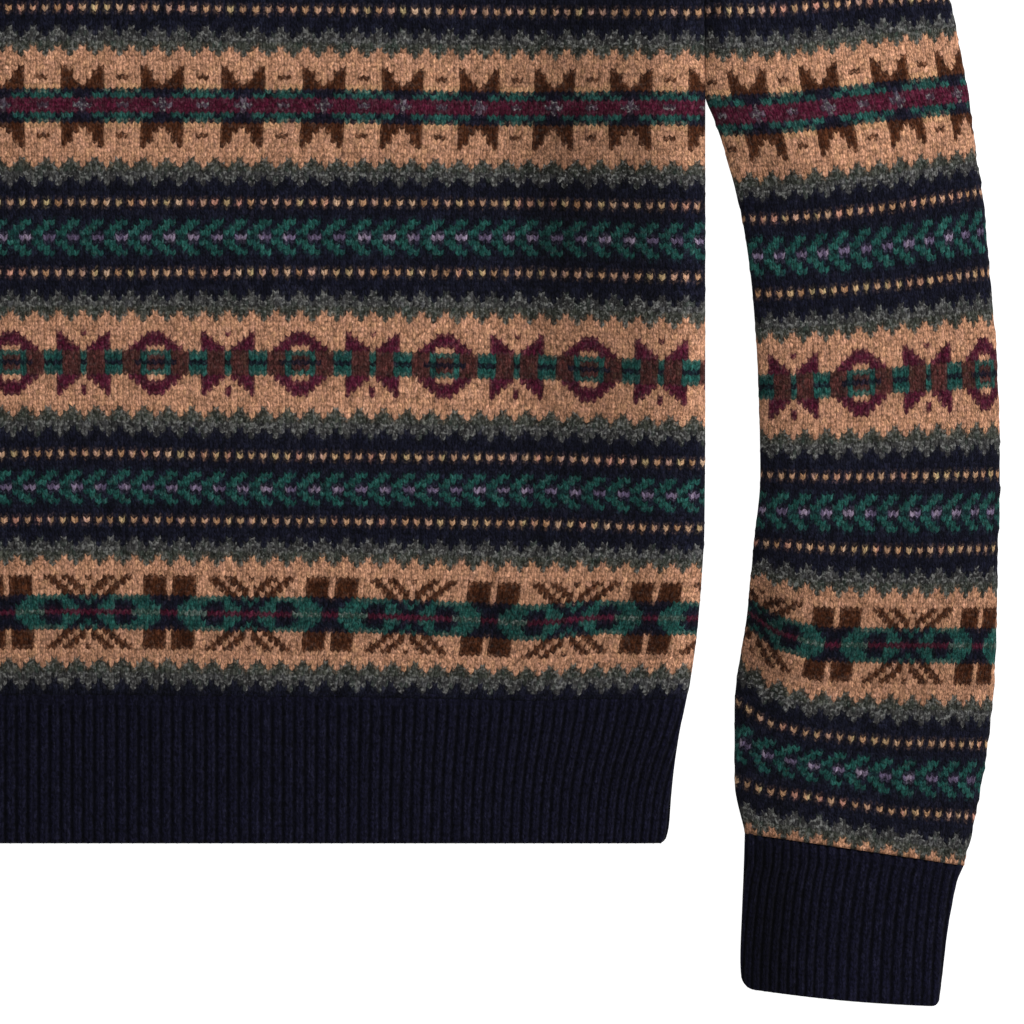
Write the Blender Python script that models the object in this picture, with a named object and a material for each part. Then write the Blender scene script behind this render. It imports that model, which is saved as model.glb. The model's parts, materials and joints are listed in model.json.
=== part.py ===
"""A crew-neck jumper in stranded knitting, laid flat and front up: nine pieces, 0.3 mm apart at their seams.

Metres in Blender, millimetres in the sizes and tables below. +Y runs from hem to neck, +Z up off the
surface, and left and right are the wearer's, so that the left sleeve is at +X. Heights along the garment
are given up from the hem line, and ORIGIN_UP moves them all so that the box is centred.
"""

from collections import namedtuple

import bpy
import numpy as np

# Cloth, in millimetres
WALL = 3.4  # stranded knitting, with its floats behind it
RIB_WALL = 2.8  # single-yarn rib, between the ridges
RIB_RISE = 0.9
RIB_PITCH = 5.1
SEAM = 0.3
NECK_SEAM = 0.6  # so that the panels' straight neck edges still clear the finer neckband
LAID = 8.4  # both layers, one on the other
FOLD = 14.0  # how far a folded side rounds inwards
ORIGIN_UP = 314.7

# Body, up from the hem line
HEM_RIB = 70.0
ARMPIT = 440.0
SHOULDER_UP = 651.0
SHOULDER_HALF = 235.0
NECK_UP = 690.0
NECK_HALF = 88.0
FRONT_DROP = 90.0
BACK_DROP = 18.0
NECKBAND_INSET = 21.0  # the neckband's free edge, in from its seam at each side
NECKBAND_RISE = 17.0  # and up from it
NECKBAND_FRONT = 27.0
NECKBAND_BACK = 26.0
NECKBAND_FOLD = 7.0

Side = namedtuple("Side", "up half_width")
SIDES = [
    Side(0, 272.0),
    Side(8, 273.9),
    Side(22, 275.0),
    Side(34, 276.2),
    Side(51, 278.7),
    Side(65, 281.5),
    Side(76, 283.9),
    Side(97, 286.9),
    Side(115, 288.6),
    Side(130, 289.7),
    Side(147, 290.6),
    Side(200, 291.0),
    Side(434, 291.0),
    Side(440, 289.6),
    Side(447, 284.0),
    Side(456, 275.5),
    Side(470, 264.5),
    Side(490, 254.5),
    Side(515, 247.4),
    Side(545, 242.6),
    Side(580, 239.0),
    Side(610, 237.0),
    Side(637, 235.6),
    Side(SHOULDER_UP, SHOULDER_HALF),
]

# Soft rises and dips of the upper layer: where, how far each way, and how high
Swell = namedtuple("Swell", "across up reach_across reach_up rise")
SWELLS = [
    Swell(-190, 120, 90, 45, 1.0),
    Swell(-60, 105, 70, 40, -0.6),
    Swell(70, 135, 80, 50, 0.9),
    Swell(215, 110, 60, 40, 1.0),
    Swell(150, 250, 110, 60, -0.6),
    Swell(-120, 300, 120, 80, 0.7),
    Swell(30, 420, 130, 70, 0.6),
    Swell(-210, 440, 60, 50, -0.5),
    Swell(200, 400, 60, 80, 0.8),
    Swell(-70, 540, 90, 50, 0.5),
    Swell(140, 560, 70, 60, -0.4),
]

# Sleeve sections from the cuff up: the folded edge beside the body, the outer edge, the swell between them
Section = namedtuple("Section", "in_x in_up out_x out_up swell")
SLEEVE = [
    Section(309.5, 5.2, 412.7, -9.9, 0.3),
    Section(306.0, 28.7, 417.8, 12.2, 1.4),
    Section(305.5, 62.5, 423.9, 46.1, 1.9),
    Section(310.7, 108.6, 427.7, 91.7, 1.7),
    Section(314.4, 141.9, 428.6, 136.8, 1.6),
    Section(317.3, 173.0, 429.6, 173.4, 1.8),
    Section(316.5, 215.3, 428.4, 222.8, 1.9),
    Section(314.0, 257.6, 424.6, 268.8, 1.8),
    Section(309.7, 292.8, 421.4, 304.6, 1.6),
    Section(304.6, 314.9, 418.0, 326.0, 1.6),
    Section(299.9, 328.0, 416.4, 339.0, 1.5),
    Section(295.2, 339.8, 415.0, 350.0, 1.5),
    Section(292.0, 352.0, 413.2, 360.5, 1.4),
    Section(291.6, 372.0, 409.8, 378.0, 1.3),
    Section(291.6, 392.0, 405.8, 397.0, 1.2),
    Section(291.6, 415.0, 401.0, 418.0, 1.0),
    Section(291.6, 432.0, 397.2, 436.0, 0.8),
]
# Above the armpit a section starts at the armhole and has these outer points
Cap = namedtuple("Cap", "up out_x swell")
CAPS = [
    Cap(442, 395.0, 0.7),
    Cap(456, 390.2, 0.7),
    Cap(470, 385.0, 0.6),
    Cap(490, 376.6, 0.5),
    Cap(515, 364.6, 0.4),
    Cap(545, 347.4, 0.2),
    Cap(575, 326.6, 0.0),
    Cap(600, 305.6, -0.2),
    Cap(620, 285.6, -0.4),
    Cap(637, 264.6, -0.6),
    Cap(647, 250.0, -0.8),
]

CUFF = [
    Section(309.5, 4.9, 412.5, -10.2, 0.2),
    Section(309.0, -11.7, 408.9, -19.7, 0.0),
    Section(308.1, -33.8, 405.1, -39.5, 0.0),
    Section(307.4, -55.0, 402.6, -60.6, 0.0),
    Section(308.3, -68.0, 400.6, -76.6, 0.0),
]
CUFF_END_BOW = 1.4  # how far the cuff's free edge bows out

MID = LAID / 2
DEGREES = np.pi / 180
FOLD_STEPS = [0, 30, 60, 90]

Fold = namedtuple("Fold", "reach cut gap")


def clear_scene():
    for thing in list(bpy.data.objects):
        bpy.data.objects.remove(thing, do_unlink=True)


def curve(places, values):
    """A smooth curve through a table's points that never swings past them (a monotone cubic)."""
    x, y = np.array(places, float), np.array(values, float)
    step = np.diff(x)
    rate = np.diff(y) / step
    slope = np.concatenate([rate[:1], np.zeros(len(x) - 2), rate[-1:]])
    same_way = rate[:-1] * rate[1:] > 0
    slope[1:-1][same_way] = 2 * (rate[:-1] * rate[1:])[same_way] / (rate[:-1] + rate[1:])[same_way]

    def value(place):
        place = np.clip(place, x[0], x[-1])
        k = np.clip(np.searchsorted(x, place) - 1, 0, len(x) - 2)
        t = (place - x[k]) / step[k]
        rise = step[k] * t * (1 - t) * ((1 - t) * slope[k] - t * slope[k + 1])
        return y[k] + (y[k + 1] - y[k]) * t * t * (3 - 2 * t) + rise

    return value


half_width = curve([row.up for row in SIDES], [row.half_width for row in SIDES])


def ramp(value, start, end):
    """0 before start, 1 after end, and smooth between."""
    share = np.clip((value - start) / (end - start), 0, 1)
    return share * share * (3 - 2 * share)


def swell_at(across, up):
    total = 0.0
    for row in SWELLS:
        far = ((across - row.across) / row.reach_across) ** 2 + ((up - row.up) / row.reach_up) ** 2
        total += row.rise * np.exp(-far)
    return total


def side_cut(up):
    """0 where the side is a fold between two layers, 1 where it is an armhole's cut edge."""
    return float(ramp(up, ARMPIT - 12, ARMPIT + 4))


def contour(q, width, top, wall, inner_fold, outer_fold, upper):
    """One point of a flattened tube's section, as ((d, z) outside, (d, z) inside).

    q runs round it: 0 to 1 up the fold at d = 0, to 2 across the top, to 4 round the far fold, to 5 back
    under, and to 6 up to the start. upper says which layer a point on it belongs to, because both meet at the
    folds. A fold whose cut is 1 is a plain edge instead.
    """
    near = q <= 1 or q >= 5
    fold = inner_fold if near else outer_fold
    level = (MID + fold.gap / 2) if upper else (MID - fold.gap / 2)
    face = top if upper else 0.0
    back = face - wall if upper else wall
    if 1 < q < 2 or 4 < q < 5:
        share = (q - 1) if upper else (5 - q)
        d = inner_fold.reach + share * (width - inner_fold.reach - outer_fold.reach)
        return (d, face), (d, back)
    turn = min(q, 6 - q) if near else abs(q - 3)
    angle = turn * 90 * DEGREES
    drop = (1 - np.sin(angle)) * (1 - fold.cut)
    outside = fold.reach * (1 - np.cos(angle))
    inside = fold.reach - (fold.reach - wall * (1 - fold.cut)) * np.cos(angle)
    if not near:
        outside, inside = width - outside, width - inside
    return (outside, face + (level - face) * drop), (inside, back + (level - back) * drop)


def wall_mesh(name, outside, inside):
    """A closed wall between two grids of points, given as rows of (x, up, z) in millimetres."""
    outside, inside = np.array(outside), np.array(inside)
    rows, columns = outside.shape[:2]
    points = np.concatenate([outside.reshape(-1, 3), inside.reshape(-1, 3)])
    points[:, 1] -= ORIGIN_UP
    far = rows * columns

    def at(row, column, layer=0):
        return layer * far + row * columns + column

    faces = []
    for r in range(rows - 1):
        for c in range(columns - 1):
            ring = [(r, c), (r, c + 1), (r + 1, c + 1), (r + 1, c)]
            faces.append([at(*spot) for spot in ring])
            faces.append([at(*spot, 1) for spot in reversed(ring)])
    for c in range(columns - 1):
        faces.append([at(0, c + 1), at(0, c), at(0, c, 1), at(0, c + 1, 1)])
        faces.append([at(rows - 1, c), at(rows - 1, c + 1), at(rows - 1, c + 1, 1), at(rows - 1, c, 1)])
    for r in range(rows - 1):
        faces.append([at(r, 0), at(r + 1, 0), at(r + 1, 0, 1), at(r, 0, 1)])
        faces.append([at(r + 1, columns - 1), at(r, columns - 1), at(r, columns - 1, 1), at(r + 1, columns - 1, 1)])

    mesh = bpy.data.meshes.new(name)
    mesh.from_pydata((points * 0.001).tolist(), [], faces)
    mesh.update()
    return mesh


def add_piece(name, outside, inside, colour, mirrored=False):
    mesh = wall_mesh(name, outside, inside)
    if mirrored:
        for vertex in mesh.vertices:
            vertex.co.x = -vertex.co.x
        mesh.flip_normals()
    mesh.materials.append(colour)
    piece = bpy.data.objects.new(name, mesh)
    garment.objects.link(piece)
    return piece


def wool(name, shade):
    material = bpy.data.materials.new(name)
    material.use_nodes = True
    shader = material.node_tree.nodes["Principled BSDF"]
    shader.inputs["Base Color"].default_value = (*shade, 1)
    shader.inputs["Roughness"].default_value = 0.95
    return material


def shoulder_line(across, drop):
    """The top edge of a body panel: the shoulder's slope, then the neckline."""
    far = abs(across)
    slope = NECK_UP - (far - NECK_HALF) * (NECK_UP - SHOULDER_UP) / (SHOULDER_HALF - NECK_HALF)
    if far >= NECK_HALF:
        return slope
    power = 0.45 if drop == FRONT_DROP else 0.5
    return NECK_UP - drop * (1 - (far / NECK_HALF) ** 2) ** power


def panel_column_places(inner, steps):
    """q across one layer of the body: the fold at each side, and named shares of the width between."""
    first = [angle / 90 for angle in steps]
    middle = [1 + (1 + share) / 2 for share in sorted({s for v in inner for s in (-v, v)})]
    last = [3 - angle / 90 for angle in reversed(steps)]
    return [q for q in first + middle + last]


def body_panel(name, ups, q_places, drop, colour):
    """The front or the back, from the hem rib's seam to the shoulder and neck seams."""
    upper = drop == FRONT_DROP
    start = HEM_RIB + SEAM
    full = SHOULDER_UP - FOLD
    rows_out, rows_in = [], []
    fold_rows = [(full, 90)] + [(full, angle) for angle in (60, 30, 0)]
    for side_up, angle in [(up, 90) for up in ups] + fold_rows:
        half = half_width(side_up if angle == 90 else SHOULDER_UP - FOLD * (1 - np.cos(angle * DEGREES)))
        edge = Fold(FOLD, side_cut(side_up), SEAM)
        row_out, row_in = [], []
        for q in q_places:
            place = q if upper else 6 - q
            (d, z), (d_in, z_in) = contour(place, 2 * half, LAID, WALL, edge, edge, upper)
            top_share = SHOULDER_HALF / half
            across, across_in = d - half, d_in - half
            top = shoulder_line(across * top_share, drop)
            top_in = shoulder_line(across_in * top_share, drop)
            cut = 1 - float(ramp(abs(across * top_share), NECK_HALF, NECK_HALF + 8))
            share = (side_up - start) / (full - start)
            inset = FOLD * (1 - np.cos(angle * DEGREES))
            inset_in = FOLD - (FOLD - WALL * (1 - cut)) * np.cos(angle * DEGREES)
            if angle == 90:
                up = start + (top - FOLD - start) * share
                up_in = start + (top_in - FOLD - start) * share
            else:
                up, up_in = top - inset, top_in - inset_in
            if upper:
                lift = swell_at(across, up) * np.clip(min(half - abs(across), 40) / 40, 0, 1)
                lift *= ramp(up, start, start + 25) * (1 - ramp(up, top - 60, top - 10))
                z += lift
                z_in += lift
            level = MID + SEAM / 2 if upper else MID - SEAM / 2
            hold = 1 - (1 - np.sin(angle * DEGREES)) * (1 - cut)
            row_out.append((across, up, level + (z - level) * hold))
            row_in.append((across_in, up_in, level + (z_in - level) * hold))
        rows_out.append(row_out)
        rows_in.append(row_in)
    if not upper:
        rows_out, rows_in = rows_in, rows_out
    return add_piece(name, rows_out, rows_in, colour)


def hem_rib(name, upper, colour):
    """The ribbed band below a body panel. The upper one has its ridges raised on the outside."""
    edge = Fold(FOLD, 0.0, SEAM)
    if upper:
        round_steps = [k / 8 for k in range(8)]
        ribs = int((2 * half_width(35) - 2 * FOLD) / RIB_PITCH) * 2
        q_places = round_steps + [1 + k / ribs for k in range(ribs + 1)] + [3 - k for k in reversed(round_steps)]
    else:
        q_places = panel_column_places([0.0, 0.25, 0.5, 0.75, 1.0], FOLD_STEPS[:-1])
    rows_out, rows_in = [], []
    for up in [0.0, 34.0, HEM_RIB]:
        half = half_width(up)
        row_out, row_in = [], []
        for k, q in enumerate(q_places):
            place = q if upper else 6 - q
            (d, z), (d_in, z_in) = contour(place, 2 * half, LAID - RIB_RISE * upper, RIB_WALL, edge, edge, upper)
            if upper and 0 < k < len(q_places) - 1:
                z += RIB_RISE * (k % 2) * min(1, 3 * q, 3 * (3 - q))
            row_out.append((d - half, up, z))
            row_in.append((d_in - half, up, z_in))
        rows_out.append(row_out)
        rows_in.append(row_in)
    if not upper:
        rows_out, rows_in = rows_in, rows_out
    return add_piece(name, rows_out, rows_in, colour)


def tube_piece(name, sections, q_places, wall, colour, mirrored, ribbed=0, bow=0.0):
    """A sleeve or a cuff: a flattened tube with its seam along the fold beside the body."""
    rows_out, rows_in = [], []
    for number, (section, cut) in enumerate(sections):
        start = np.array([section.in_x, section.in_up])
        along = np.array([section.out_x, section.out_up]) - start
        width = float(np.hypot(*along))
        along /= width
        reach = min(FOLD, 0.42 * width)
        near, far = Fold(reach, cut, SEAM), Fold(reach, 0.0, 0.0)
        row_out, row_in = [], []
        for k, q in enumerate(q_places):
            share = np.clip(q - 1, 0, 1)
            top = LAID - RIB_RISE * bool(ribbed) + section.swell * np.sin(np.pi * share)
            (d, z), (d_in, z_in) = contour(q, width, top, wall, near, far, q <= 3)
            if ribbed and k % 2 and q < ribbed:
                z += RIB_RISE * min(1, 3 * q, 4 - q)
            for row, far_along, height in ((row_out, d, z), (row_in, d_in, z_in)):
                x, up = start + along * far_along
                dip = bow * (number == len(sections) - 1) * np.sin(np.pi * np.clip(far_along / width, 0, 1))
                row.append((x, up - dip, height))
        rows_out.append(row_out)
        rows_in.append(row_in)
    if bow:
        rows_out, rows_in = rows_out[::-1], rows_in[::-1]
    return add_piece(name, rows_out, rows_in, colour, mirrored)


def neckband(name, colour):
    """The ribbed neckband, a flattened ring whose front half lies over its back half."""
    angles = np.linspace(0, np.pi, 400)
    half, inset = NECK_HALF - NECK_SEAM, NECKBAND_INSET
    seam_up, edge_up = NECK_UP + NECK_SEAM, NECK_UP + NECKBAND_RISE

    def arc(reach_x, base, drop, power):
        return np.stack([-reach_x * np.cos(angles), base - drop * np.sin(angles) ** power], axis=1)

    front = arc(half, seam_up, FRONT_DROP, 0.9), arc(
        half - inset, edge_up, FRONT_DROP + NECKBAND_RISE - NECKBAND_FRONT, 0.9
    )
    back = arc(half, seam_up, BACK_DROP, 1.0), arc(
        half - inset, edge_up, BACK_DROP + NECKBAND_RISE - NECKBAND_BACK, 1.0
    )

    def even_places(pair, count):
        middle = (pair[0] + pair[1]) / 2
        steps = np.concatenate([[0], np.cumsum(np.hypot(*np.diff(middle, axis=0).T))])
        far = np.linspace(0, steps[-1], count)
        return np.interp(far, steps, np.arange(len(angles))), far, steps[-1]

    length = even_places(front, 2)[2]
    ribs = int(length / RIB_PITCH)
    rows_out, rows_in = [], []
    for share in (0.0, 0.5, 1.0):
        row_out, row_in = [], []
        for pair, count, upper in ((front, 2 * ribs + 1, True), (back, 27, False)):
            places, far, total = even_places(pair, count)
            edge = pair[0] * (1 - share) + pair[1] * share
            line = np.stack([np.interp(places, np.arange(len(angles)), edge[:, k]) for k in (0, 1)], axis=1)
            if not upper:
                line, far = line[::-1], far[::-1]
            for k, (x, up) in enumerate(line):
                near = min(far[k], total - far[k]) / NECKBAND_FOLD
                turn = np.sin(np.arccos(1 - min(near, 1)))
                level = MID + (SEAM / 2 if upper else -SEAM / 2) * (x < 0)
                face = LAID - RIB_RISE - 0.6 if upper else 0.0
                behind = face - RIB_WALL if upper else RIB_WALL
                inward = RIB_WALL * (1 - min(near, 1)) * np.sign(-x)
                z, z_in = level + (face - level) * turn, level + (behind - level) * turn
                if upper and k % 2:
                    z += RIB_RISE * turn
                last = not upper and k == 0
                if last:
                    continue
                row_out.append((x, up, z))
                row_in.append((x + inward, up, z_in))
        rows_out.append(row_out)
        rows_in.append(row_in)
    return add_piece(name, rows_out, rows_in, colour)


clear_scene()
garment = bpy.data.collections.new("patterned_jumper")
bpy.context.scene.collection.children.link(garment)

patterned = wool("patterned wool", (0.20, 0.13, 0.10))
ribbing = wool("ribbed wool", (0.012, 0.012, 0.020))

PANEL_UPS = [HEM_RIB + SEAM, 84, 98, 115, 135, 160, 190, 225, 260, 300, 340, 380, 410]
CAP_UPS = [428, 433, 437, 441, 445, 450, 456, 463, 472, 484, 500, 520, 546, 576, 608]
neck_share = NECK_HALF / (SHOULDER_HALF - FOLD)
neck_columns = [neck_share * np.sin(step * 10 * DEGREES) for step in range(10)]
front_columns = neck_columns + [neck_share + 0.036, 0.56, 0.70, 0.85, 1.0]
front_places = panel_column_places(front_columns, FOLD_STEPS[:-1])
body_panel("front", PANEL_UPS + CAP_UPS, front_places, FRONT_DROP, patterned)
back_ups = [HEM_RIB + SEAM, 98, 115, 147, 200, 300, 410] + CAP_UPS
back_places = panel_column_places(neck_columns + [neck_share + 0.036, 0.7, 1.0], FOLD_STEPS[:-1])
body_panel("back", back_ups, back_places, BACK_DROP, patterned)
hem_rib("hem_rib_front", True, ribbing)
hem_rib("hem_rib_back", False, ribbing)

lower = [row for row in SLEEVE if row.in_up < CAPS[0].up]
caps = [Section(half_width(row.up) + SEAM, row.up, row.out_x, row.up, row.swell) for row in CAPS]
sleeve_shape = [
    curve([row.in_up for row in lower + caps], [getattr(row, name) for row in lower + caps])
    for name in Section._fields
]
SLEEVE_UPS = [5.2, 18, 31, 46, 63, 85, 108, 130, 155, 185, 215, 245, 275, 293, 304, 315, 322, 328]
SLEEVE_UPS += [334, 340, 346, 352, 362, 380, 403]
sleeve_rows = []
for up in SLEEVE_UPS + CAP_UPS + [637, 647]:
    row = Section(*[float(value(up)) for value in sleeve_shape])
    if up > ARMPIT - 12:
        row = row._replace(in_x=max(row.in_x, float(half_width(up)) + SEAM))
    if up >= CAPS[0].up:
        row = row._replace(in_x=float(half_width(up)) + SEAM)
    sleeve_rows.append((row, side_cut(up)))
round_near = [angle / 90 for angle in FOLD_STEPS]
round_far = [3 - angle / 90 for angle in (60, 30, 0, -30, -60)]
sleeve_places = round_near + [1.2, 1.4, 1.6, 1.8, 2.0] + round_far + [4.0, 4.33, 4.67]
sleeve_places += [6 - q for q in reversed(round_near)]
cuff_round = [k / 6 for k in range(6)]
cuff_ribs = 2 * int(75 / RIB_PITCH)
cuff_places = cuff_round + [1 + k / cuff_ribs for k in range(cuff_ribs)] + [2 + k / 6 for k in range(12)]
cuff_places += [4.0, 4.25, 4.5, 4.75] + [6 - q for q in reversed(round_near)]
cuff_rows = [(row, 0.0) for row in CUFF]
for side, mirrored in (("left", False), ("right", True)):
    tube_piece(f"sleeve_{side}", sleeve_rows, sleeve_places, WALL, patterned, mirrored)
    tube_piece(f"cuff_{side}", cuff_rows, cuff_places, RIB_WALL, ribbing, mirrored, 3.8, CUFF_END_BOW)
neckband("neckband", ribbing)
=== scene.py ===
# %% [markdown]
# # A banded jumper, laid flat
# The real thing is a crew-neck jumper in stranded knitting: every stitch is a small V of wool, and every row
# is knitted with one or two colours that follow a chart. It could be modelled as a smooth shell with a
# picture of the pattern on it, but a picture has no stitches. Here each stitch is two slanted faces of the
# mesh, so that the pattern's edges are jagged in the same way as knitting, and the chart is written as text.

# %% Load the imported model
import json
from collections import namedtuple
from functools import partial

import bpy
import numpy as np
from mathutils import Matrix, Vector

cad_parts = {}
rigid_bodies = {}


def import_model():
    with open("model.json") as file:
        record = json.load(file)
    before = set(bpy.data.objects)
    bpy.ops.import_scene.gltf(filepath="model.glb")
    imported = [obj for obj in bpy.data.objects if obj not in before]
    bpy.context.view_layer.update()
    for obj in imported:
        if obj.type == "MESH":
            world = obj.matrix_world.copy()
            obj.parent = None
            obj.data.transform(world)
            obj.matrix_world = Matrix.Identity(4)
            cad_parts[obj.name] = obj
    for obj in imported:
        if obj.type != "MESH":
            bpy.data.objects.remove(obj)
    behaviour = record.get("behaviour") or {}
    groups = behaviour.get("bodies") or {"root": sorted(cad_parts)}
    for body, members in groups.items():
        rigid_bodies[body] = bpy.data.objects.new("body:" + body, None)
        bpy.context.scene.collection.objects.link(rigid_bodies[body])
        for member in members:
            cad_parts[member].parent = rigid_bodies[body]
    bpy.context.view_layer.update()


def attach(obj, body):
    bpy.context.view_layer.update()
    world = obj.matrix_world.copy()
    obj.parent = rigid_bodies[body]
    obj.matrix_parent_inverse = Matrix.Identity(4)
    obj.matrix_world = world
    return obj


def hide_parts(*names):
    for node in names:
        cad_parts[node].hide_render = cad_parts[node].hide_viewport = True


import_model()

# %% [markdown]
# ## The cloth's sizes
# A knitter measures a jumper in millimetres up from its hem, so the sizes here do as well, and one line moves
# them into the part's own frame. Both layers lie on each other, and each side of the body is a fold: a
# quarter of an ellipse, 14 mm deep and as high as half the pair of layers.

# %% Sizes of the cloth
WALL = 3.4
RIB_WALL = 2.8
RIB_RISE = 0.9
SEAM = 0.3
LAID = 8.4
FOLD = 14.0
MID = LAID / 2
ORIGIN_UP = 314.7
HEM_RIB = 70.0
ARMPIT = 440.0
SHOULDER_UP = 651.0
SHOULDER_HALF = 235.0
NECK_UP = 690.0
NECK_HALF = 88.0
FRONT_DROP = 90.0
BACK_DROP = 18.0
NECK_ROUND = 8.0  # beside the neck, where its cut edge becomes the shoulder's fold


def table(kind, rows):
    """A table whose columns have names."""
    return [kind(*row) for row in rows]


Side = namedtuple("Side", "up half_width")
SIDES = table(Side, [
    (0, 272.0), (8, 273.9), (22, 275.0), (34, 276.2), (51, 278.7), (65, 281.5), (76, 283.9), (97, 286.9),
    (115, 288.6), (130, 289.7), (147, 290.6), (200, 291.0), (434, 291.0), (440, 289.6), (447, 284.0),
    (456, 275.5), (470, 264.5), (490, 254.5), (515, 247.4), (545, 242.6), (580, 239.0), (610, 237.0),
    (637, 235.6), (651, 235.0),
])

# Soft rises and dips of the upper layer: where, how far each way, and how high
Swell = namedtuple("Swell", "across up reach_across reach_up rise")
SWELLS = table(Swell, [
    (-190, 120, 90, 45, 1.0), (-60, 105, 70, 40, -0.6), (70, 135, 80, 50, 0.9), (215, 110, 60, 40, 1.0),
    (150, 250, 110, 60, -0.6), (-120, 300, 120, 80, 0.7), (30, 420, 130, 70, 0.6), (-210, 440, 60, 50, -0.5),
    (200, 400, 60, 80, 0.8), (-70, 540, 90, 50, 0.5), (140, 560, 70, 60, -0.4),
])
SIDE_FADE, HEM_FADE, TOP_FADE = 40.0, 25.0, (60.0, 10.0)  # where the swells die out, from the panel's edges
# Creases: long soft troughs and ridges where the cloth settled, the same on both sides
CREASES = table(Swell, [
    (216, 300, 15, 80, -1.1), (247, 300, 17, 95, 1.3), (186, 92, 15, 18, -0.8), (207, 100, 15, 18, 0.8),
    (150, 318, 18, 40, 0.6), (60, 200, 16, 50, -0.5), (84, 205, 18, 55, 0.5), (110, 480, 20, 90, -0.8),
    (140, 490, 20, 95, 0.8),
])
print("body:", 2 * SHOULDER_HALF, "mm across the shoulders,", 2 * max(row.half_width for row in SIDES), "below")

# %% [markdown]
# ## Curves through tables
# A tailor's pattern is a few measured points joined by a fair curve. A monotone cubic does that and never
# swings past its points, which a plain spline would do at the armhole's corner.

# %% Helpers for curves
def curve(rows, place, height):
    """A smooth curve through two columns of a table that never swings past its points."""
    x, y = (np.array([getattr(row, name) for row in rows], float) for name in (place, height))
    step = np.diff(x)
    rate = np.diff(y) / step
    slope = np.concatenate([rate[:1], np.zeros(len(x) - 2), rate[-1:]])
    same_way = rate[:-1] * rate[1:] > 0
    slope[1:-1][same_way] = 2 * (rate[:-1] * rate[1:])[same_way] / (rate[:-1] + rate[1:])[same_way]

    def value(at):
        at = np.clip(at, x[0], x[-1])
        k = np.clip(np.searchsorted(x, at) - 1, 0, len(x) - 2)
        t = (at - x[k]) / step[k]
        rise = step[k] * t * (1 - t) * ((1 - t) * slope[k] - t * slope[k + 1])
        return y[k] + (y[k + 1] - y[k]) * t * t * (3 - 2 * t) + rise

    return value


def ramp(value, start, end):
    """0 before start, 1 after end, and smooth between."""
    share = np.clip((value - start) / (end - start), 0, 1)
    return share * share * (3 - 2 * share)


print("a ramp from 0 to 1 at its quarters:", ramp(np.array([0.25, 0.5, 0.75]), 0, 1))


# %% Outline, swells and folds
half_width = curve(SIDES, "up", "half_width")


def swell_at(across, up, rows):
    total = 0.0
    for row in rows:
        far = ((across - row.across) / row.reach_across) ** 2 + ((up - row.up) / row.reach_up) ** 2
        total = total + row.rise * np.exp(-far)
    return total


def side_cut(up):
    """0 where the side is a fold between two layers, 1 where it is an armhole's cut edge."""
    return ramp(up, ARMPIT - 12, ARMPIT + 4)


def shoulder_line(across, drop):
    """The top edge of a body panel: the shoulder's slope, then the neckline."""
    far = np.abs(across)
    slope = NECK_UP - (far - NECK_HALF) * (NECK_UP - SHOULDER_UP) / (SHOULDER_HALF - NECK_HALF)
    power = 0.45 if drop == FRONT_DROP else 0.5  # the front's dip is the squarer one
    dip = NECK_UP - drop * np.clip(1 - (far / NECK_HALF) ** 2, 0, 1) ** power
    return np.where(far >= NECK_HALF, slope, dip)


FOLD_SHAPE = 0.29  # the fold's height as a share of its depth
QUARTER = np.linspace(0, np.pi / 2, 91)
quarter_length = np.concatenate(
    [[0], np.cumsum(np.hypot(np.diff(np.sin(QUARTER)), FOLD_SHAPE * np.diff(np.cos(QUARTER))))]
)
FOLD_EXTRA = quarter_length[-1] - 1  # how much longer the cloth is than the fold is deep


def fold_turn(into, reach, cut):
    """Angle and depth reached by cloth that goes `into` a fold, and whether it has passed its end."""
    whole = reach * (1 + FOLD_EXTRA * (1 - cut))
    share = np.clip(into / whole, 0, 1)
    angle = np.interp(share * quarter_length[-1], quarter_length, QUARTER)
    depth = (1 - cut) * np.sin(angle) + cut * share
    return angle, depth, into > whole


print("a folded side takes", round(FOLD * FOLD_EXTRA, 1), "mm more cloth than it is deep")

# %% [markdown]
# ## Where each stitch lies on the body
# Knitting isn't a perfect grid once it is laid down. Its rows dip a little towards the sides, and its
# columns lean inwards near the hem, where the rib pulls them together. Two short tables hold that: the
# height of some rows at four places across, and the pitch of the columns at some heights.

# %% Rows and columns of the body
Line = namedtuple("Line", "row centre third two_thirds side")
BODY_LINES = table(Line, [
    (-1.5, 69.7, 68.9, 67.6, 67.6), (4.5, 85.5, 84.0, 82.3, 82.3), (7.5, 91.5, 90.3, 88.0, 88.9),
    (15, 108.9, 107.5, 104.9, 105.7), (25.5, 133.0, 132.3, 130.2, 129.1), (34, 152.0, 151.2, 150.4, 147.9),
    (48, 183.2, 181.7, 181.0, 178.7), (66, 226.1, 225.7, 224.0, 221.0), (72.5, 240.7, 240.4, 239.0, 236.6),
    (84, 267.8, 268.1, 267.7, 265.9), (98, 300.9, 300.9, 300.5, 299.2), (112, 332.5, 332.2, 331.1, 330.9),
    (118, 346.8, 346.5, 345.2, 345.5), (129, 371.0, 370.2, 369.0, 369.1), (138, 392.5, 391.3, 390.2, 390.0),
    (204, 549.0, 549.0, 549.0, 549.0), (264, 696.0, 696.0, 696.0, 696.0),
])
LINE_PLACES = [0.0, 100.0, 200.0, 280.0]
body_line = [curve(BODY_LINES, "row", name) for name in Line._fields[1:]]

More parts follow.
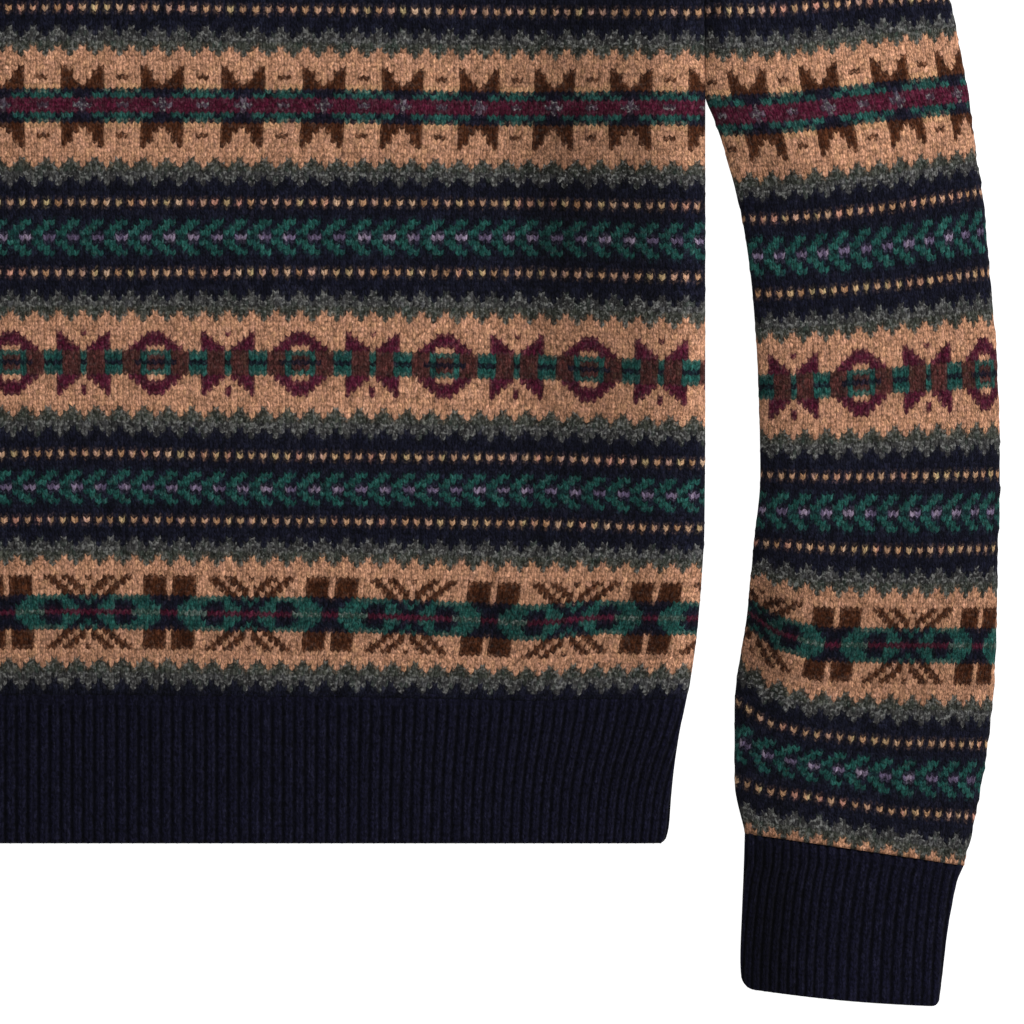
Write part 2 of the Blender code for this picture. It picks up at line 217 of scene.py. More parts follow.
Columns = namedtuple("Columns", "up axis pitch")
BODY_COLUMNS = table(Columns, [
    (0, 1.4, 2.44), (20, 1.4, 2.44), (50, 1.4, 2.54), (72, 1.4, 2.618), (94, 1.4, 2.660), (122, 1.2, 2.721),
    (153, 0.6, 2.766), (183, -0.2, 2.792), (225, -0.9, 2.825), (268, -1.4, 2.834), (700, -1.4, 2.834),
])
FIRST_PITCH = 2.83
axis_at = curve(BODY_COLUMNS, "up", "axis")
pitch_at = curve(BODY_COLUMNS, "up", "pitch")
BOW, BOW_PLACE, BOW_REACH, BOW_START = 3.2, 135.0, 80.0, (312.0, 352.0)
# Where the cloth has settled, its columns stand a little further out, or in where the rise is negative
SHIFTS = table(Swell, [
    (155, 308, 40, 26, 1.7), (250, 335, 45, 30, -1.3), (85, 283, 35, 18, -0.8), (160, 262, 45, 25, 0.7),
    (265, 155, 30, 30, 1.4), (235, 108, 35, 25, 1.2), (110, 110, 90, 50, 0.5),
])


def sway(across, up):
    """Above the ribs' pull the columns bow outwards a little, half way to each side."""
    far = np.abs(across)
    bow = BOW * np.exp(-(((far - BOW_PLACE) / BOW_REACH) ** 2)) * ramp(up, *BOW_START)
    return bow + swell_at(far, up, SHIFTS)


# Where the rows sag into a hollow, or ride up over a ridge
SAGS = table(Swell, [(209, 96, 16, 30, -1.6), (243, 100, 15, 28, 0.8)])
print("columns:", BODY_COLUMNS[-1].pitch, "mm wide, and", BODY_COLUMNS[0].pitch, "at the hem")


# %% Height of a row
def row_height(v, across):
    """How far up a place v rows from the first one is, at a distance across."""
    far = np.clip(np.abs(across), 0, LINE_PLACES[-1])
    levels = [line(v) for line in body_line]
    up = levels[0]
    for k in range(3):
        share = ramp(far, LINE_PLACES[k], LINE_PLACES[k + 1])
        up = up + (levels[k + 1] - levels[k]) * share
    return up + swell_at(far, up, SAGS)


low, high = row_height(np.array([84.0, 138.0]), 0.0)
print("rows:", round((high - low) / (138 - 84), 2), "mm high")


# %% Place of a stitch on the body
Spots = namedtuple("Spots", "x up z side above")


def body_place(upper, drop, spread=1.0):
    """Where the front's or the back's stitches lie: a function of u stitches across and v rows up."""

    def place(u, v, inside):
        way = np.where(u < 0, -1.0, 1.0)
        across = FIRST_PITCH * u  # a first guess, which three rounds put right
        for _ in range(3):
            up = row_height(v, across)
            flat = way * axis_at(up) + np.abs(u) * pitch_at(up) * spread + sway(across, up)
            half, cut = half_width(up), side_cut(up)
            angle, depth, past = fold_turn(flat - (half - FOLD), FOLD, cut)
            across = way * np.where(flat > half - FOLD, half - FOLD + FOLD * depth, flat)
        reach = FOLD - WALL * (1 - cut) if inside else FOLD
        x = way * np.where(flat > half - FOLD, half - FOLD + reach * depth, flat)
        top = shoulder_line(across * SHOULDER_HALF / np.maximum(half, SHOULDER_HALF), drop)
        above = up > top
        up = np.minimum(up, top)
        face = (LAID if upper else 0.0) + 0 * up
        if inside:
            face = face + (-WALL if upper else WALL)
        if upper:
            lift = swell_at(across, up, SWELLS) + swell_at(np.abs(across), up, CREASES)
            lift = lift * np.clip(half - np.abs(across), 0, SIDE_FADE) / SIDE_FADE
            lift = lift * ramp(up, HEM_RIB + SEAM, HEM_RIB + SEAM + HEM_FADE)
            face = face + lift * (1 - ramp(up, top - TOP_FADE[0], top - TOP_FADE[1]))
        level = MID + SEAM / 2 if upper else MID - SEAM / 2
        z = face + (level - face) * (1 - np.cos(angle)) * (1 - cut)
        neck_cut = 1 - ramp(np.abs(across), NECK_HALF, NECK_HALF + NECK_ROUND)
        edge = np.clip((top - up) / FOLD, 0, 1)
        if inside:
            inset = WALL * (1 - neck_cut)
            up = np.where(edge < 1, up - inset * (1 - edge), up)
        hold = 1 - (1 - np.sqrt(1 - (1 - edge) ** 2)) * (1 - neck_cut)
        z = level + (z - level) * hold
        return Spots(x, up, z, np.where(past, way, 0).astype(int), above)

    return place


some = body_place(True, FRONT_DROP)(np.array([0.0, 50.0, 100.0]), np.full(3, 60.0), False)
print("stitches 0, 50 and 100 of row 60 lie at x =", some.x.round(1), "and y =", some.up.round(1))

# %% [markdown]
# ## Where each stitch lies on a sleeve
# A sleeve is a tube laid flat. Its columns run down it, closer together where they turn round the outer
# edge, and its rows curl up beside the body in its lower part. The same kind of tables hold that. The cloth
# starts at the seam beside the body, crosses the top, turns round the outer edge and comes back underneath.

# %% Rows and columns of a sleeve
Section = namedtuple("Section", "in_x in_up out_x out_up swell")
SLEEVE = table(Section, [
    (309.5, 5.2, 412.7, -9.9, 0.3), (304.8, 28.7, 417.8, 12.2, 1.4), (304.7, 62.5, 423.9, 46.1, 1.9),
    (310.7, 108.6, 427.7, 91.7, 1.7), (313.9, 141.9, 428.6, 136.8, 1.6), (316.8, 173.0, 429.6, 173.4, 1.8),
    (315.9, 215.3, 428.4, 222.8, 1.9), (313.2, 257.6, 424.6, 268.8, 1.8), (308.4, 292.8, 421.4, 304.6, 1.6),
    (303.0, 314.9, 418.0, 326.0, 1.6), (299.3, 328.0, 416.4, 339.0, 1.5), (295.2, 339.8, 415.0, 350.0, 1.5),
    (290.8, 352.0, 413.2, 360.5, 1.4), (290.6, 372.0, 409.8, 378.0, 1.3), (290.6, 392.0, 405.8, 397.0, 1.2),
    (290.6, 415.0, 401.0, 418.0, 1.0), (290.6, 432.0, 397.2, 436.0, 0.8),
])
Cap = namedtuple("Cap", "up out_x swell")
CAPS = table(Cap, [
    (442, 395.0, 0.7), (456, 390.2, 0.7), (470, 385.0, 0.6), (490, 376.6, 0.5), (515, 364.6, 0.4),
    (545, 347.4, 0.2), (575, 326.6, 0.0), (600, 305.6, -0.2), (620, 285.6, -0.4), (637, 264.6, -0.6),
    (647, 250.0, -0.8),
])
SLEEVE_LAP = 0.4  # how far a sleeve lies under the body's side
whole_sleeve = SLEEVE + [Section(half_width(c.up) - SLEEVE_LAP, c.up, c.out_x, c.up, c.swell) for c in CAPS]
inner_edge = curve(whole_sleeve, "in_up", "in_x")
outer_edge = curve(whole_sleeve, "out_up", "out_x")
sleeve_swell = curve(whole_sleeve, "in_up", "swell")

# Heights of a row at the inner edge, at three places across, and at the outer edge
SleeveLine = namedtuple("SleeveLine", "row inner near middle far outer")
SLEEVE_LINES = table(SleeveLine, [
    (-27.5, 4.6, 2.8, 0.1, -5.2, -10.5), (-18, 29.6, 24.8, 21.9, 14.9, 12.5),
    (-11, 49.0, 41.6, 36.6, 31.0, 29.6), (-4, 67.2, 57.0, 51.2, 47.2, 46.4),
    (15, 109.0, 99.4, 93.4, 93.0, 92.7), (34, 141.3, 140.0, 138.5, 137.4, 138.6),
    (48, 173.2, 172.3, 172.0, 172.5, 173.5), (66, 214.2, 214.2, 215.3, 218.3, 220.8),
    (84, 257.9, 257.9, 259.2, 262.8, 268.2), (98, 293.3, 293.1, 294.4, 299.2, 306.0),
    (112, 325.6, 326.0, 327.3, 332.4, 336.8), (124, 357.2, 357.6, 358.6, 363.4, 367.6),
    (131, 372.1, 372.2, 372.9, 378.6, 382.3), (138, 391.1, 391.0, 391.4, 395.2, 397.0),
    (178, 486.0, 486.3, 487.0, 488.5, 490.0), (244.5, 647.0, 647.0, 647.0, 647.0, 647.0),
])
SHARES = [0.0, 0.12, 0.30, 0.65, 1.0]
sleeve_line = [curve(SLEEVE_LINES, "row", name) for name in SleeveLine._fields[1:]]
# The mirror line's share of the width, the stitches' pitch, and the share at which they start to turn away
SleeveColumns = namedtuple("SleeveColumns", "row axis pitch turn")
SLEEVE_COLUMNS = table(SleeveColumns, [
    (-27.5, 0.645, 2.80, 0.64), (-18, 0.64, 2.86, 0.64), (-4, 0.64, 2.72, 0.64), (7, 0.645, 2.60, 0.62),
    (18, 0.66, 2.56, 0.60), (34, 0.68, 2.59, 0.57), (48, 0.688, 2.61, 0.57), (66, 0.71, 2.65, 0.57),
    (84, 0.705, 2.57, 0.57), (98, 0.712, 2.55, 0.57), (112, 0.742, 2.60, 0.60), (124, 0.711, 2.60, 0.60),
    (138, 0.714, 2.56, 0.60), (244.5, 0.73, 2.64, 0.60),
])
sleeve_axis, sleeve_pitch, sleeve_turn = (
    curve(SLEEVE_COLUMNS, "row", name) for name in SleeveColumns._fields[1:]
)
SLEEVE_BEND = 1.2  # the bend's radius, as a share of its width
FOLD_SHARE = 0.42  # how much of a narrow tube's width its fold may take
SQUEEZE_FROM = 12.0  # how far from its middle, towards the body, a cuff's stitches start to crowd
print("sleeve:", len(whole_sleeve), "sections, the last", whole_sleeve[-1].in_up, "mm up")


# %% Height of a sleeve's row
def sleeve_height(v, share):
    levels = [line(v) for line in sleeve_line]
    share = np.clip(share, 0, 1)
    up = levels[0]
    for k in range(4):
        part = np.clip((share - SHARES[k]) / (SHARES[k + 1] - SHARES[k]), 0, 1)
        up = up + (levels[k + 1] - levels[k]) * part
    return up


print("row 15 falls from", sleeve_height(15.0, 0.0), "to", sleeve_height(15.0, 1.0), "mm up, outwards")


# %% Place of a stitch on a tube
def tube_place(height, inner, outer, axis, pitch, turn, bend, swell, cut_at, top, wall, squeeze=0.0):
    """Where a laid tube's stitches lie, for a sleeve or a cuff."""

    def place(u, v, inside):
        share = np.full(np.shape(u), 0.5)
        for _ in range(4):
            up = height(v, share)
            start, end = inner(up), outer(up)
            width = end - start
            reach = np.minimum(FOLD, FOLD_SHARE * width)
            middle = start + axis(v) * width
            lead = start + turn(v) * width - middle
            radius = bend * (end - middle - lead)
            turn_end = lead + radius * np.arcsin(1 / bend)
            along = u * pitch(v)
            along = along + squeeze * np.clip(-along - SQUEEZE_FROM, 0, None)
            cut = cut_at(up)
            # over the top, to the seam on the one side and the outer fold on the other
            angle_in, depth_in, past_in = fold_turn(start + reach - middle - along, reach, cut)
            bent = lead + radius * np.sin((np.minimum(along, turn_end) - lead) / radius)
            over = middle + np.where(along > lead, bent, along)
            past_out = along > turn_end
            # underneath, back from the outer fold
            back = along - turn_end
            angle_far, depth_far, _ = fold_turn(reach * (1 + FOLD_EXTRA) - back, reach, 0.0)
            under = end - reach - (back - reach * (1 + FOLD_EXTRA))
            angle_home, depth_home, past_home = fold_turn(start + reach - under, reach, cut)
            x_top = np.where(over < start + reach, start + reach - reach * depth_in, over)
            x_low = np.where(under > end - reach, end - reach + reach * depth_far, under)
            x_low = np.where(under < start + reach, start + reach - reach * depth_home, x_low)
            x = np.where(past_out, x_low, x_top)
            share = (x - start) / width
        thin = wall if inside else 0.0
        sin_far = np.clip((x_top - (end - reach)) / reach, 0, 1)
        fall_far_top = 1 - np.sqrt(1 - sin_far**2)
        flat_share = np.clip((x - start - reach) / np.maximum(width - 2 * reach, 1), 0, 1)
        face = top + swell(up) * np.sin(np.pi * flat_share) - thin
        near = np.where(over < start + reach, (1 - np.cos(angle_in)) * (1 - cut), 0)
        z_top = face + (MID + SEAM / 2 - face) * near
        z_top = z_top + (MID - z_top) * fall_far_top
        z_low = thin + (MID - thin) * np.where(under > end - reach, 1 - np.cos(angle_far), 0)
        home = np.where(under < start + reach, (1 - np.cos(angle_home)) * (1 - cut), 0)
        z_low = z_low + (MID - SEAM / 2 - z_low) * home
        if inside:
            near_inset = wall * (1 - cut) * np.clip((start + reach - x) / reach, 0, 1)
            far_inset = wall * np.clip((x - (end - reach)) / reach, 0, 1)
            x = x + near_inset - far_inset
        side = np.where(past_out, np.where(past_home, 1, 0), np.where(past_in, -1, 0))
        return Spots(x, up, np.where(past_out, z_low, z_top), side, np.zeros(np.shape(u), bool))

    return place


sleeve_place = tube_place(
    sleeve_height, inner_edge, outer_edge, sleeve_axis, sleeve_pitch, sleeve_turn, SLEEVE_BEND, sleeve_swell,
    side_cut, LAID, WALL,
)
some = sleeve_place(np.array([-20.0, 0.0, 20.0, 40.0]), np.full(4, 60.0), False)
print("four stitches of a sleeve's row 60, x =", some.x.round(1), "and z =", some.z.round(1))

# %% [markdown]
# ## The chart
# A stranded pattern is a chart of letters, one for each stitch, and every row repeats along its own few
# stitches. Each band is symmetrical, so only half of it is written. A letter stands for a yarn: n navy,
# a marled ash grey, o olive grey, t tan, y yellower tan, b brown, g green, f a green in the navy, c burgundy,
# r red-brown, m mauve, w grey-green, l lilac and k camel.

# %% Chart of the bands
ChartRow = namedtuple("ChartRow", "letters start")  # start is the stitch that the first letter falls on


def band(start, rows):
    """Rows of the chart, one for each word."""
    return [ChartRow(word, start) for word in rows.split()]


def mirrored(rows):
    return rows + rows[-2::-1]


TICK = band(0, "kn")
CLIMB = band(0, "n n n annn aana a o tooo ttot t t")
FALL = CLIMB[::-1]
STEM = band(0, "n n n nngg nggn ggnn ffll ggnn nggn nngg n n n")
RAYS = mirrored(band(-18, """
    bbbbtbbbbttbbtbbttbttbbtbbtt
    bbbbtbbbbtttbbtbbtttbbtbbttt
    bbbbtbbbbttttbbtbbtbbtbbtttt
    bbbbtbbbbtttttbbtbtbtbbttttt
    gnnnnnnngggggggnngngnngggggg
    ggnnnnnggggnnnggnngnnggnnngg
    gggnnnggggnnnngggnnngggnnnng
    wwwcccwwwwwcccccccccccccccww
"""))
RINGS_AND_CROSSES = mirrored(band(-16, """
    tttcccttttttctttctttcttt
    ttccccctttttcctttttccttt
    tcccccccttttccctttcccttt
    ccctttccctttcccctccccttt
    rrgggggrrrgggrrrgrrrgggr
    rrgrrrgrrrgggrrrgrrrgggr
    rnfnnnfnrrnnnrrrnrrrnnnr
"""))
RINGS_AND_CROSSES[1] = ChartRow("ttccccctttttccttcttccttt", -16)  # the lower dots are taller
BOXES_AND_CUPS = mirrored(band(-9, """
    ttttttbtttttb
    ttttttbbtttbb
    ttbbttbbtttbb
    ttttttbbbtbbb
    yyyyyybbbbbbb
    gnggngnnnnnnn
    nggggnggnnngg
    cccccccccmccc
    ccmmccccmmmcc
"""))

FIRST_ROW = -27
chart = FALL[2:] + TICK + STEM + TICK
for middle in 2 * (RAYS, RINGS_AND_CROSSES, BOXES_AND_CUPS):
    chart += CLIMB + middle + FALL + TICK + STEM + TICK
print("rows in the chart:", len(chart), "the body's first tick is row", FIRST_ROW + 61)

# %% [markdown]
# ## The yarns
# Brushed Shetland-like wool is never one colour: strands of other colours are spun into it, so that each
# stitch differs a little from the next. The colours are given as sRGB hex values, which one function turns
# to the linear values that the renderer works in. Every yarn has its own colour, the strands in it, how
# strongly they show, and how many pale flecks it has.


# %% Colours of the yarns
def linear(hex_colour):
    """An sRGB hex colour as linear red, green and blue."""
    parts = np.array([int(hex_colour[k : k + 2], 16) for k in (1, 3, 5)]) / 255
    return np.where(parts <= 0.04045, parts / 12.92, ((parts + 0.055) / 1.055) ** 2.4)


Yarn = namedtuple("Yarn", "name colour strands marl flecks", defaults=[0.0])
YARNS = {
    "n": Yarn("navy", "#10111e", ["#1c1e2c", "#07080e", "#1e1e2a"], 0.7),
    "a": Yarn("marled ash grey", "#373636", ["#5e5e5a", "#18181a", "#505052", "#343c36", "#242426"], 0.8, 1.0),
    "o": Yarn("olive grey", "#343630", ["#4e5046", "#1a1c18", "#585852", "#2e3a34", "#242420"], 0.8, 0.7),
    "t": Yarn("tan", "#b48468", ["#be9076", "#b68864", "#90644a", "#b0806a", "#865e46"], 0.7),
    "y": Yarn("yellow tan", "#b48765", ["#c69a74", "#98704c", "#b88270"], 0.6),
    "b": Yarn("brown", "#3f2112", ["#5a3420", "#281108", "#4a2a18"], 0.7, 0.1),
    "g": Yarn("green", "#1b4640", ["#2b6058", "#123032", "#264e4a"], 0.7, 0.1),
    "f": Yarn("green in the navy", "#121f26", ["#16302e", "#0c0e16"], 0.6),
    "c": Yarn("burgundy", "#471326", ["#5e2438", "#2e0a16", "#401a28"], 0.7, 0.1),
    "r": Yarn("red-brown", "#462624", ["#5e322e", "#241614", "#3c2c20"], 0.7, 0.1),
    "m": Yarn("flecked mauve", "#40323c", ["#6a5e6a", "#2c1e2a", "#4c4c56"], 0.85, 1.0),
    "w": Yarn("flecked grey-green", "#34473f", ["#5c6862", "#24463c", "#46564e"], 0.8, 0.7),
    "l": Yarn("lilac", "#645870", ["#968698", "#463c52"], 0.85),
    "h": Yarn("rib navy", "#0e0e1d", ["#1b1b2a", "#090914", "#171726"], 0.7),
    # painted shade: the same rib navy, made darker where the purled gaps between the ribs lie in shade
    "v": Yarn("rib navy with painted shade in the gaps", "#090913", ["#0e0e1a", "#05050b"], 0.6),
    "k": Yarn("camel", "#ac8566", ["#c6a68c", "#a8986e", "#ab766a", "#9a704e", "#b89082"], 0.85),
}
print("yarns:", ", ".join(yarn.name for yarn in YARNS.values()))


# %% Spin the colours of the legs
SEED = 11
SHADE_SPREAD, SHADE_LIMITS = 0.18, (0.6, 1.5)  # how much lighter or darker one leg is than the next
SLOW, QUICK = 0.55, 0.45  # how much of a strand's change comes slowly along the row, and how much leg by leg


def spin(letters, seed):
    """Linear colours and flecks for a grid of legs, row by row, from the letters of their yarns."""
    rng = np.random.default_rng(seed)
    rows, legs = letters.shape
    colours = np.zeros((rows, legs, 4))
    drift = rng.random((rows, legs))
    slow = np.repeat(rng.random((rows, legs // 4 + 2)), 4, axis=1)[:, :legs]
    amount = rng.random((rows, legs)) ** 1.2
    shade = rng.normal(1.0, SHADE_SPREAD, (rows, legs))
    whole = np.concatenate([drift[:, :1], np.repeat(drift[:, 1::2], 2, axis=1)], axis=1)[:, :legs]
    for letter, yarn in YARNS.items():
        mask = letters == letter
        if not mask.any():
            continue
        strands = np.array([linear(hex_colour) for hex_colour in yarn.strands])
        streak = {"a": drift, "o": drift, "k": whole}.get(letter, SLOW * slow + QUICK * drift)
        pick = (streak * len(strands)).astype(int) % len(strands)
        mixed = linear(yarn.colour) + (strands[pick] - linear(yarn.colour)) * (yarn.marl * amount)[..., None]
        colours[mask, :3] = (mixed * np.clip(shade, *SHADE_LIMITS)[..., None])[mask]
        colours[mask, 3] = yarn.flecks
    return colours


print("a leg of tan and one of navy:", spin(np.array([["t", "n"]]), SEED)[0, :, :3].round(3).tolist())

# %% [markdown]
# ## From stitches to a mesh
# Each stitch is two quads side by side, its left and right legs. A grid of half stitches is laid on the
# cloth, and the points that fall past a panel's edge are gathered on it, so that the outline stays fair.
# The inner face of the wall needs no stitches, so it is a sparse grid of the same form, and the two are
# closed along their edges by walking round both and joining the nearest points. The legs' colours also
# carry painted shade and painted light. A table of soft patches darkens them where folds, hollows and
# edges lie in shade, and lightens them where the cloth catches the light, the same on both sides.


# %% Painted shade and edges
Grid = namedtuple("Grid", "points faces corners")
Lines = namedtuple("Lines", "u v sparse_u sparse_v")  # where the stitches' points are, and the lining's
# painted shade: the inner face of the wall takes the legs' mean colour, darkened by this share
LINING_SHADE = 0.35
RIM_SHADE = 0.6  # a cut edge lies in its own shade
# Painted shade and light: how much darker the wool's colour is made in a place, or lighter where it is negative
PAINTED_SHADE_PATCHES = table(Swell, [
    (236, 335, 32, 95, 0.35), (240, 195, 32, 60, 0.20), (200, 345, 14, 60, 0.10), (219, 292, 12, 45, 0.18),
    (262, 295, 14, 45, 0.14), (238, 394, 30, 16, 0.18), (285, 250, 6, 160, -0.22), (195, 105, 16, 18, 0.30),
    (258, 105, 18, 22, 0.18), (100, 275, 28, 25, -0.12), (20, 76, 70, 20, 0.12), (262, 35, 18, 22, 0.12),
    (150, 8, 140, 12, -0.10), (316, 92, 17, 42, 0.42), (320, -38, 17, 60, 0.50), (372, -62, 36, 16, -0.12),
    (295, 400, 5, 45, 0.35), (322, 316, 16, 15, 0.32), (304, 338, 8, 16, 0.28), (321, 185, 10, 60, 0.16),
    (260, 250, 11, 200, 0.13), (218, 230, 12, 160, 0.10), (322, 200, 14, 200, 0.10), (324, 108, 14, 26, 0.14),
    (324, 391, 20, 13, -0.24), (120, 316, 140, 8, 0.10), (110, 105, 130, 12, 0.07), (135, 199, 60, 8, -0.10),
    (355, 336, 18, 14, -0.14), (354, 268, 26, 13, -0.11), (360, 175, 26, 12, -0.09), (282, 82, 8, 14, -0.18),
    (376, 34, 18, 14, 0.15), (376, 84, 18, 14, 0.12), (345, 100, 34, 34, 0.10), (392, 90, 36, 36, 0.17),
    (370, 365, 60, 50, -0.12),
])
print("nap:", len(PAINTED_SHADE_PATCHES), "soft patches")


# %% Lay a grid of stitches
def lay_grid(place, u_lines, v_lines, inside):
    """Points and faces of a grid of stitches, with what lies past an edge gathered on it."""
    u, v = np.meshgrid(u_lines, v_lines)
    spots = place(u, v, inside)
    rows, columns = u.shape
    base = np.arange(rows * columns).reshape(rows, columns)
    ids = base.copy()
    for way in (-1, 1):
        mask = (spots.side == way) & ~spots.above
        ids = np.where(mask, base[np.arange(rows), mask.argmax(1)][:, None], ids)
        corner = (spots.side == way) & spots.above
        if corner.any():
            ids[corner] = base[corner][0]
    mask = spots.above & (spots.side == 0)
    ids = np.where(mask, base[mask.argmax(0), np.arange(columns)][None, :], ids)

    ring = [base[:-1, :-1], base[:-1, 1:], base[1:, 1:], base[1:, :-1]]
    ring = np.stack([corner.ravel() for corner in ring], axis=1)
    named = ids.ravel()[ring]
    same = named == np.roll(named, -1, axis=1)
    corners = [ring[same.sum(1) == 0]]
    for k, drop in ((0, 1), (1, 2), (2, 3), (3, 3)):
        thin = (same.sum(1) == 1) & same[:, k]
        corners.append(np.delete(ring[thin], drop, axis=1))
    faces = [ids.ravel()[part] for part in corners]
    used = np.unique(np.concatenate([part.ravel() for part in faces]))
    renumber = np.zeros(rows * columns, int)
    renumber[used] = np.arange(len(used))
    points = np.stack([spots.x, spots.up, spots.z], axis=-1).reshape(-1, 3)[used]
    return Grid(points, [renumber[part] for part in faces], corners)


patch = lay_grid(body_place(True, FRONT_DROP), np.arange(0, 3, 0.5), np.arange(0.0, 4), False)
print("a patch of three stitches by three rows has", len(patch.points), "points")


# %% Join two grids along their borders
def borders(faces, points):
    """The open borders of a grid, each as points in order."""
    steps = np.concatenate([np.stack([part, np.roll(part, -1, axis=1)], -1).reshape(-1, 2) for part in faces])
    known = set(map(tuple, steps.tolist()))
    onward = {a: b for a, b in known if (b, a) not in known}
    loops = []
    while onward:
        start = min(onward)
        loop = [start]
        while onward.get(loop[-1], start) != start:
            loop.append(onward[loop[-1]])
        for point in loop:
            onward.pop(point, None)
        loops.append(np.array(loop))
    return sorted(loops, key=len, reverse=True)


def zip_borders(outer, inner, outer_points, inner_points, shift):
    """Triangles between two borders that run the same way."""
    gap = np.linalg.norm(inner_points[inner] - outer_points[outer[0]], axis=1)
    inner = np.roll(inner, -int(gap.argmin()))
    a, b = outer_points[np.append(outer, outer[0])], inner_points[np.append(inner, inner[0])]
    i = j = 0
    faces = []
    while i < len(outer) or j < len(inner):
        step_outer = np.inf if i == len(outer) else np.linalg.norm(a[i + 1] - b[j])
        step_inner = np.inf if j == len(inner) else np.linalg.norm(a[i] - b[j + 1])
        here, there = outer[i % len(outer)], inner[j % len(inner)] + shift
        if step_outer <= step_inner:
            i += 1
            faces.append((outer[i % len(outer)], here, there))
        else:
            j += 1
            faces.append((there, inner[j % len(inner)] + shift, here))
    return faces


print("the patch's border has", len(borders(patch.faces, patch.points)[0]), "points")


# %% Make the shell of cloth
def cloth_mesh(
    name, place, lines, letters_at, seed, outside_down=False, mirror=False, slant_at=None, ridge_at=None
):
    """A closed shell of cloth: its knitted face in stitches, its inner face sparse, and its edges joined."""
    u_lines, v_lines = lines.u, lines.v
    knit = lay_grid(place, u_lines, v_lines, False)
    lining = lay_grid(place, lines.sparse_u, lines.sparse_v, True)
    shift = len(knit.points)
    strip = []
    for outer, inner in zip(borders(knit.faces, knit.points), borders(lining.faces, lining.points)):
        strip += zip_borders(outer, inner, knit.points, lining.points, shift)

    faces = [row for part in knit.faces for row in part.tolist()]
    lining_faces = [[k + shift for k in reversed(row)] for part in lining.faces for row in part.tolist()]
    faces += lining_faces + [list(map(int, row)) for row in strip]
    points = np.concatenate([knit.points, lining.points])
    points[:, 1] -= ORIGIN_UP
    if mirror:
        points[:, 0] *= -1
    way = -1 if outside_down != mirror else 1
    faces = [row[::way] for row in faces]

    mesh = bpy.data.meshes.new(name)
    mesh.from_pydata((points * 0.001).tolist(), [], faces)

    # the legs' colours, and a softer version of them for the loose fibres
    columns = len(u_lines)
    leg_of = np.concatenate([part.min(1) for part in knit.corners])
    leg_row, leg_column = leg_of // columns, np.minimum(leg_of % columns, columns - 2)
    rows = np.round((v_lines[:-1] + v_lines[1:]) / 2).astype(int)
    middles = (u_lines[:-1] + u_lines[1:]) / 2
    grid_colours = spin(letters_at(rows, middles), seed)
    # painted shade and painted light from the soft patches, multiplied into each leg's colour
    centres = np.concatenate([points[part].mean(1) for part in knit.faces])
    painted_shade = 1 - swell_at(np.abs(centres[:, 0]), centres[:, 1] + ORIGIN_UP, PAINTED_SHADE_PATCHES)
    colours = grid_colours[np.minimum(leg_row, len(rows) - 1), leg_column]
    colours[:, :3] *= painted_shade[:, None]
    near = np.zeros((len(points), 4))
    for face, colour in zip(faces, colours):
        near[face, :3] += colour[:3]
        near[face, 3] += 1
    near[:, :3] /= np.maximum(near[:, 3:], 1)
    near[:, 3] = 1
    # the inner face: the legs' mean colour darkened as painted shade
    near[shift:, :3] = LINING_SHADE * colours[:, :3].mean(0)
    rims = [near[[point for point in face if point < shift]].mean(0) * RIM_SHADE for face in strip]
    colours = np.concatenate([colours, np.tile(near[-1], (len(lining_faces), 1)), rims])
    colours[len(leg_of) :, 3] = 0
    mesh.attributes.new("yarn", "FLOAT_COLOR", "FACE").data.foreach_set("color", colours.ravel())
    mesh.attributes.new("near_yarn", "FLOAT_COLOR", "POINT").data.foreach_set("color", near.ravel())

    # stitches across and rows up, for the fibres and the roundness of the legs
    u_all, v_all = np.meshgrid(u_lines, v_lines)
    laid = np.concatenate([part[:, ::way].ravel() for part in knit.corners])
    uv = np.column_stack([u_all.ravel()[laid], v_all.ravel()[laid]])
    rest = len(mesh.loops) - len(uv)
    uv = np.concatenate([uv, np.tile([0.25, 0.0], (rest, 1))])
    mesh.uv_layers.new(name="stitches").data.foreach_set("uv", uv.ravel())

    # which way each point slants and how high it rises, for the tree that knits the stitches
    slants = slant_at(u_all) if slant_at else np.round(2 * u_all) % 2 * 2 - 1
    slants = np.where((v_all == v_lines[0]) | (v_all == v_lines[-1]), 0, slants)
    heights = {"slant": slants, "ridge": ridge_at(u_all, v_all) if ridge_at else 0 * u_all}
    edge = np.concatenate(borders(knit.faces, knit.points))
    for attribute, grid in heights.items():
        spot = np.zeros(len(points))
        for part_ids, part_corners in zip(knit.faces, knit.corners):
            spot[part_ids.ravel()] = grid.ravel()[part_corners.ravel()]
        if attribute == "slant":
            spot[edge] = 0
        mesh.attributes.new(attribute, "FLOAT", "POINT").data.foreach_set("value", spot)
    mesh.polygons.foreach_set("use_smooth", np.ones(len(faces), bool))
    mesh.update()
    cloth = bpy.data.objects.new(name, mesh)
    bpy.context.scene.collection.objects.link(cloth)
    print(name, "has", sum(len(row) - 2 for row in faces), "triangles")
    return cloth


# %% [markdown]
# ## Knit the stitches
# A V appears when the points between two stitches slide up and the points in the middle of a stitch slide
# down, and a rib appears when whole columns rise. That is the same for every stitch, so a Geometry Nodes tree
# does it: one Set Position, which moves each point by its own slant and ridge times named sizes. The tree
# ends in Realize Instances and Set Material, and its result is kept as a plain mesh.


# %% A tree that knits
MATHS, VECTORS, NOISE = "ShaderNodeMath", "ShaderNodeVectorMath", "ShaderNodeTexNoise"


def add_node(tree, kind, *sources, output=0, **named):
    """Adds a node with its settings, sets or links its inputs in order or by name, and returns one output."""
    node = tree.nodes.new(kind)
    for name in [name for name in named if hasattr(node, name)]:
        setattr(node, name, named.pop(name))
    for place, source in [*enumerate(sources), *named.items()]:
        if isinstance(source, bpy.types.NodeSocket):
            tree.links.new(source, node.inputs[place])
        else:
            node.inputs[place].default_value = source
    return node.outputs[output] if node.outputs else None


